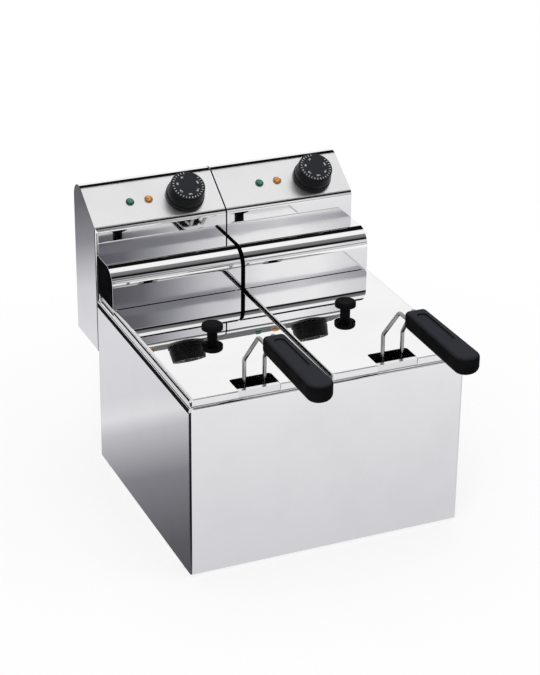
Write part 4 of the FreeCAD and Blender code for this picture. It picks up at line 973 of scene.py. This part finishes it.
class FRYER_OT_lamps(bpy.types.Operator):
    """Builds the pilot lamps: a flanged rim, a faceted lens and a barrel behind the panel"""
    bl_idname = "fryer.lamps"
    bl_label = "Pilot lamps"

    def execute(self, context):
        for side in SIDES:
            for colour in ("green", "amber"):
                node = f"{colour}_lamp_{side}"
                base = panel_frame(side)
                low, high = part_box(node)
                across = (low.x + high.x) / 2 - base.translation.x
                bezel = lathe(node + "_bezel", bezel_profile(), BEZEL_SEGMENTS)
                lens = lathe(node + "_lens", lens_profile(), LENS_SEGMENTS)
                for mesh, angle in ((bezel, context.scene.fryer_sizes.smooth_angle), (lens, LENS_SMOOTH)):
                    smooth(mesh, angle)
                    mesh.transform(base @ Matrix.Translation((across, LAMP_RISE, 0)))
                new_piece(node + "_bezel", bezel, f"{colour}_rim", node, replaces=False)
                new_piece(node + "_lens", lens, f"{colour}_lens", node)
        return {"FINISHED"}


# Stage

# The camera, fitted to the casing's corners in the photograph: angles in degrees, focal length in
# millimetres, and its place in metres, with y counted from the casing's front
CAMERA = {"yaw": 23.646, "pitch": 25.414, "roll": 0.648, "lens": 108.18,
          "x": -0.9308, "y": -1.9447, "z": 1.3113}

# The sky that steel mirrors, as levels at angles in degrees: from the horizon behind, over the top, to the
# one in front. Softboxes fill a lane on the right, which opens and closes over two spans of the ray's X.
SOFTBOXES = ((0, 1.0), (35, 1.0), (37, 0.005), (75, 0.005), (78, 1.0), (107, 1.0), (111, 0.24), (131, 0.16),
             (135, 0.01), (146, 0.01), (150, 0.75), (161, 0.75), (164, 0.25), (167, 0.25), (170, 0.70),
             (177, 0.70), (180, 0.30))
PLAIN_SKY = ((0, 0.95), (40, 0.75), (55, 0.38), (75, 0.95), (110, 1.0), (130, 0.40), (150, 0.75),
             (180, 0.90))
LANE_OPENS, LANE_CLOSES = (0.12, 0.24), (0.50, 0.62)
SOFT_LIGHT = (0.62, 0.62, 0.63)
WHITE = (1, 1, 1, 1)

# The square lights: name, place, width in metres and power in watts
LIGHTS = (("key", (-1.2, -1.6, 2.2), 1.4, 26), ("fill", (1.8, -1.0, 1.6), 1.6, 12),
          ("top", (0, 0.5, 2.6), 2.0, 16))
LIGHT_AIM = Vector((0, 0, 0.2))

# The floor: half its width, the distances over which it turns white, and how white it is nearby
FLOOR_REACH = 6.0
FLOOR_NEAR, FLOOR_FAR = 0.20, 0.80
FLOOR_WHITE = 0.72

# The cards that only steel mirrors: their edges in metres, and levels at distances along them. A wall is
# (y, lower edge, upper edge), the rear card (left, near, right, far), the flag (near, low, far, high).
CARD_LEFT, CARD_RIGHT, CARD_REAR = CASING_LOW.x - 0.6, 1.2, 1.3
APRON_NEAR = FRONT - 0.9
WALL_LEFT, WALL_RIGHT = -0.8, 1.9
FRONT_WALL, STRIP_WALL = (-1.5, 0.9, 1.25), (-1.49, 1.02, 1.058)
REAR_AREA = (-1.5, 0.21, 1.5, 2.5)
FLAG_X, FLAG_AREA = CASING_LOW.x - 0.27, (0.2, 0.02, 1.1, 0.42)
FRONT_LEVELS = ((0.38, 0.11), (0.45, 0.15), (0.52, 0.32), (0.60, 0.60), (0.66, 0.74), (0.75, 0.97),
                (0.88, 1.0), (1.0, 0.75))
STRIP_LEVELS = ((0.40, 0.17), (0.55, 0.22), (0.65, 0.30), (0.72, 0.55), (0.83, 0.68), (0.93, 0.48),
                (1.0, 0.36))
SIDE_LEVELS = ((FRONT - 0.6, 0.40), (FRONT - 0.3, 0.02), (FRONT - 0.03, 0.01), (FRONT, 0.09), (-0.04, 0.11),
               (0.13, 0.235), (0.256, 0.55), (0.30, 0.78), (0.36, 0.71), (0.58, 0.75), (0.742, 0.68),
               (0.92, 0.28), (1.1, 0.14))
APRON_LEVELS = ((FRONT - 0.48, 0.88), (FRONT, 0.69))
RIGHT_LEVELS = ((FRONT, 0.66), (0.5, 0.72), (1.1, 0.35))
REAR_LEVELS = ((0.3, 0.45), (0.8, 0.62), (1.8, 0.85))
FLAG_LEVELS = ((0.0, 0.01), (0.42, 0.01))
DARK_BLUE, BLUE_LOSS = 1.13, 0.14  # a dark card's blue as a share of its grey, and what it loses up to white


def make_camera():
    """The camera at the photograph's viewing angle."""
    yaw, pitch, roll = (math.radians(CAMERA[name]) for name in ("yaw", "pitch", "roll"))
    lens = bpy.data.cameras.new("camera")
    lens.lens = CAMERA["lens"]
    camera = placed("camera", lens)
    turn = (Matrix.Rotation(-yaw, 4, "Z") @ Matrix.Rotation(math.pi / 2 - pitch, 4, "X")
            @ Matrix.Rotation(roll, 4, "Z"))
    camera.matrix_world = Matrix.Translation((CAMERA["x"], CAMERA["y"] + FRONT, CAMERA["z"])) @ turn
    bpy.context.scene.camera = camera


def stage_plane(name, corners, material):
    """A flat four-cornered piece of the stage."""
    mesh = bpy.data.meshes.new(name)
    mesh.from_pydata(corners, [], [(0, 1, 2, 3)])
    mesh.materials.append(material)
    plane = placed(name, mesh)
    return plane


def card(name, along, levels, corners):
    """An emitting card that only mirrors show: its grey, a little blue where it is dark, changes along it.

    The levels are (distance in metres along the direction, level).
    """
    g = new_shader(name)
    low, high = levels[0][0], levels[-1][0]
    shades = [((place - low) / (high - low), (grey, grey, grey * (DARK_BLUE - BLUE_LOSS * grey)))
              for place, grey in levels]
    shade = g.ramp(g.span(g.along(along), low, high), *shades)
    material = g.finish(g.node("ShaderNodeEmission", inputs={"Color": shade}))
    plane = stage_plane(name, corners, material)
    for kind in ("camera", "diffuse", "shadow", "transmission"):
        setattr(plane, "visible_" + kind, False)


def wall(y, low, high):
    """The corners of a card that stands in front of the object."""
    return [(WALL_LEFT, y, low), (WALL_RIGHT, y, low), (WALL_RIGHT, y, high), (WALL_LEFT, y, high)]


def lying(outline, height=MM):
    """The corners of a card that lies just above the floor."""
    return [(x, y, height) for x, y in outline]


def rectangle(left, near, right, far):
    return [(left, near), (right, near), (right, far), (left, far)]


def floor_material(colour):
    """Pale floor: it shows the object's shadow close by and turns white further out."""
    g = new_shader("pale_floor")
    camera, glossy, through = (g.node("ShaderNodeLightPath", output=f"Is {kind} Ray")
                               for kind in ("Camera", "Glossy", "Transmission"))
    away = g.node("ShaderNodeVectorMath", {"operation": "LENGTH"}, {0: g.place()}, output=1)
    seen = camera * g.span(away, FLOOR_NEAR, FLOOR_FAR, FLOOR_WHITE, 1.0) + glossy + through
    shade = g.mix(g.noise(0.4, detail=3.0), opaque(colour), opaque(colour, 0.985))
    matte = g.node("ShaderNodeBsdfDiffuse", inputs={"Color": shade})
    white = g.node("ShaderNodeEmission", inputs={"Color": WHITE})
    return g.finish(g.node("ShaderNodeMixShader", inputs={0: g.span(seen, 0.0, 1.0), 1: matte, 2: white}))


def make_world():
    """White to the camera, banded softboxes to polished steel and an even soft light to the rest."""
    world = bpy.data.worlds.new("studio")
    bpy.context.scene.world = world
    g = ShaderGraph(world)
    ray = g.node("ShaderNodeTexCoord", output="Generated")
    x, y, z = (g.part(ray, axis) for axis in "XYZ")
    rise = g.span(g.maths("ARCTAN2", z, y), 0.0, math.pi)
    softboxes, plain = (g.ramp(rise, *[(degrees / 180, (level, level, level)) for degrees, level in sky])
                        for sky in (SOFTBOXES, PLAIN_SKY))
    lane = g.span(x, *LANE_OPENS) * g.span(x, *LANE_CLOSES, 1.0, 0.0)
    camera = g.node("ShaderNodeLightPath", output="Is Camera Ray")
    glossy = g.node("ShaderNodeLightPath", output="Is Glossy Ray")
    soft = g.mix(glossy, opaque(SOFT_LIGHT), g.mix(lane, plain, softboxes))
    shade = g.mix(camera, soft, WHITE)
    back = g.node("ShaderNodeBackground", inputs={"Color": shade})
    g.finish(back, "ShaderNodeOutputWorld")


def area_light(name, place, width, power):
    """A soft light on the object that isn't mirrored in the steel."""
    light = bpy.data.lights.new(name, "AREA")
    light.size = width
    light.energy = power
    lamp = placed(name, light)
    lamp.location = place
    lamp.rotation_euler = (LIGHT_AIM - Vector(place)).to_track_quat("-Z", "Y").to_euler()
    lamp.visible_glossy = False


class FRYER_OT_stage(bpy.types.Operator):
    """Sets the floor, the cards that the steel mirrors, the lights and the camera"""
    bl_idname = "fryer.stage"
    bl_label = "Stage"

    def execute(self, context):
        across, back = RIGHT, -AHEAD
        left, right = CASING_LOW.x, CASING_HIGH.x
        stage_plane("floor", lying(rectangle(-FLOOR_REACH, -FLOOR_REACH, FLOOR_REACH, FLOOR_REACH), 0),
                    floor_material(context.scene.fryer_colours.floor))
        card("front_card", across, FRONT_LEVELS, wall(*FRONT_WALL))
        card("strip_card", across, STRIP_LEVELS, wall(*STRIP_WALL))
        card("side_card", back, SIDE_LEVELS, lying([
            (CARD_LEFT, APRON_NEAR), (left, FRONT), (left, CARD_REAR), (CARD_LEFT, CARD_REAR)]))
        card("apron_card", back, APRON_LEVELS, lying([
            (CARD_LEFT, APRON_NEAR), (CARD_RIGHT, APRON_NEAR), (CARD_RIGHT, FRONT), (left, FRONT)]))
        card("right_card", back, RIGHT_LEVELS, lying(rectangle(right, FRONT, CARD_RIGHT, CARD_REAR)))
        card("rear_card", back, REAR_LEVELS, lying(rectangle(*REAR_AREA), MM / 2))
        card("flag_card", UP, FLAG_LEVELS, [(FLAG_X, y, z) for y, z in rectangle(*FLAG_AREA)])
        make_world()
        for light in LIGHTS:
            area_light(*light)
        make_camera()
        context.scene.view_settings.view_transform = "Standard"
        return {"FINISHED"}


# Panel and registration

OPERATORS = (FRYER_OT_sheet, FRYER_OT_moulded, FRYER_OT_wires, FRYER_OT_baskets, FRYER_OT_screws,
             FRYER_OT_dials, FRYER_OT_lamps, FRYER_OT_stage)


class FRYER_PT_sidebar(bpy.types.Panel):
    """The fryer's operators and settings"""
    bl_idname = "FRYER_PT_sidebar"
    bl_label = "Countertop Double Fryer"
    bl_space_type = "VIEW_3D"
    bl_region_type = "UI"
    bl_category = "Fryer"

    def draw(self, context):
        layout = self.layout
        for settings in (context.scene.fryer_sizes, context.scene.fryer_colours):
            box = layout.box()
            for name in settings.__annotations__:
                box.prop(settings, name)
        for operator in OPERATORS:
            layout.operator(operator.bl_idname)


CLASSES = (FryerSizes, FryerColours, *OPERATORS, FRYER_PT_sidebar)


def register():
    for cls in CLASSES:
        bpy.utils.register_class(cls)
    bpy.types.Scene.fryer_sizes = PointerProperty(type=FryerSizes)
    bpy.types.Scene.fryer_colours = PointerProperty(type=FryerColours)


def unregister():
    del bpy.types.Scene.fryer_colours
    del bpy.types.Scene.fryer_sizes
    for cls in reversed(CLASSES):
        bpy.utils.unregister_class(cls)


def main():
    register()
    make_finishes(bpy.context.scene.fryer_sizes, bpy.context.scene.fryer_colours)
    bpy.ops.fryer.sheet()
    bpy.ops.fryer.moulded()
    bpy.ops.fryer.wires()
    bpy.ops.fryer.baskets()
    bpy.ops.fryer.screws()
    bpy.ops.fryer.dials()
    bpy.ops.fryer.lamps()
    bpy.ops.fryer.stage()
    bpy.context.view_layer.update()


if __name__ == "__main__":
    main()
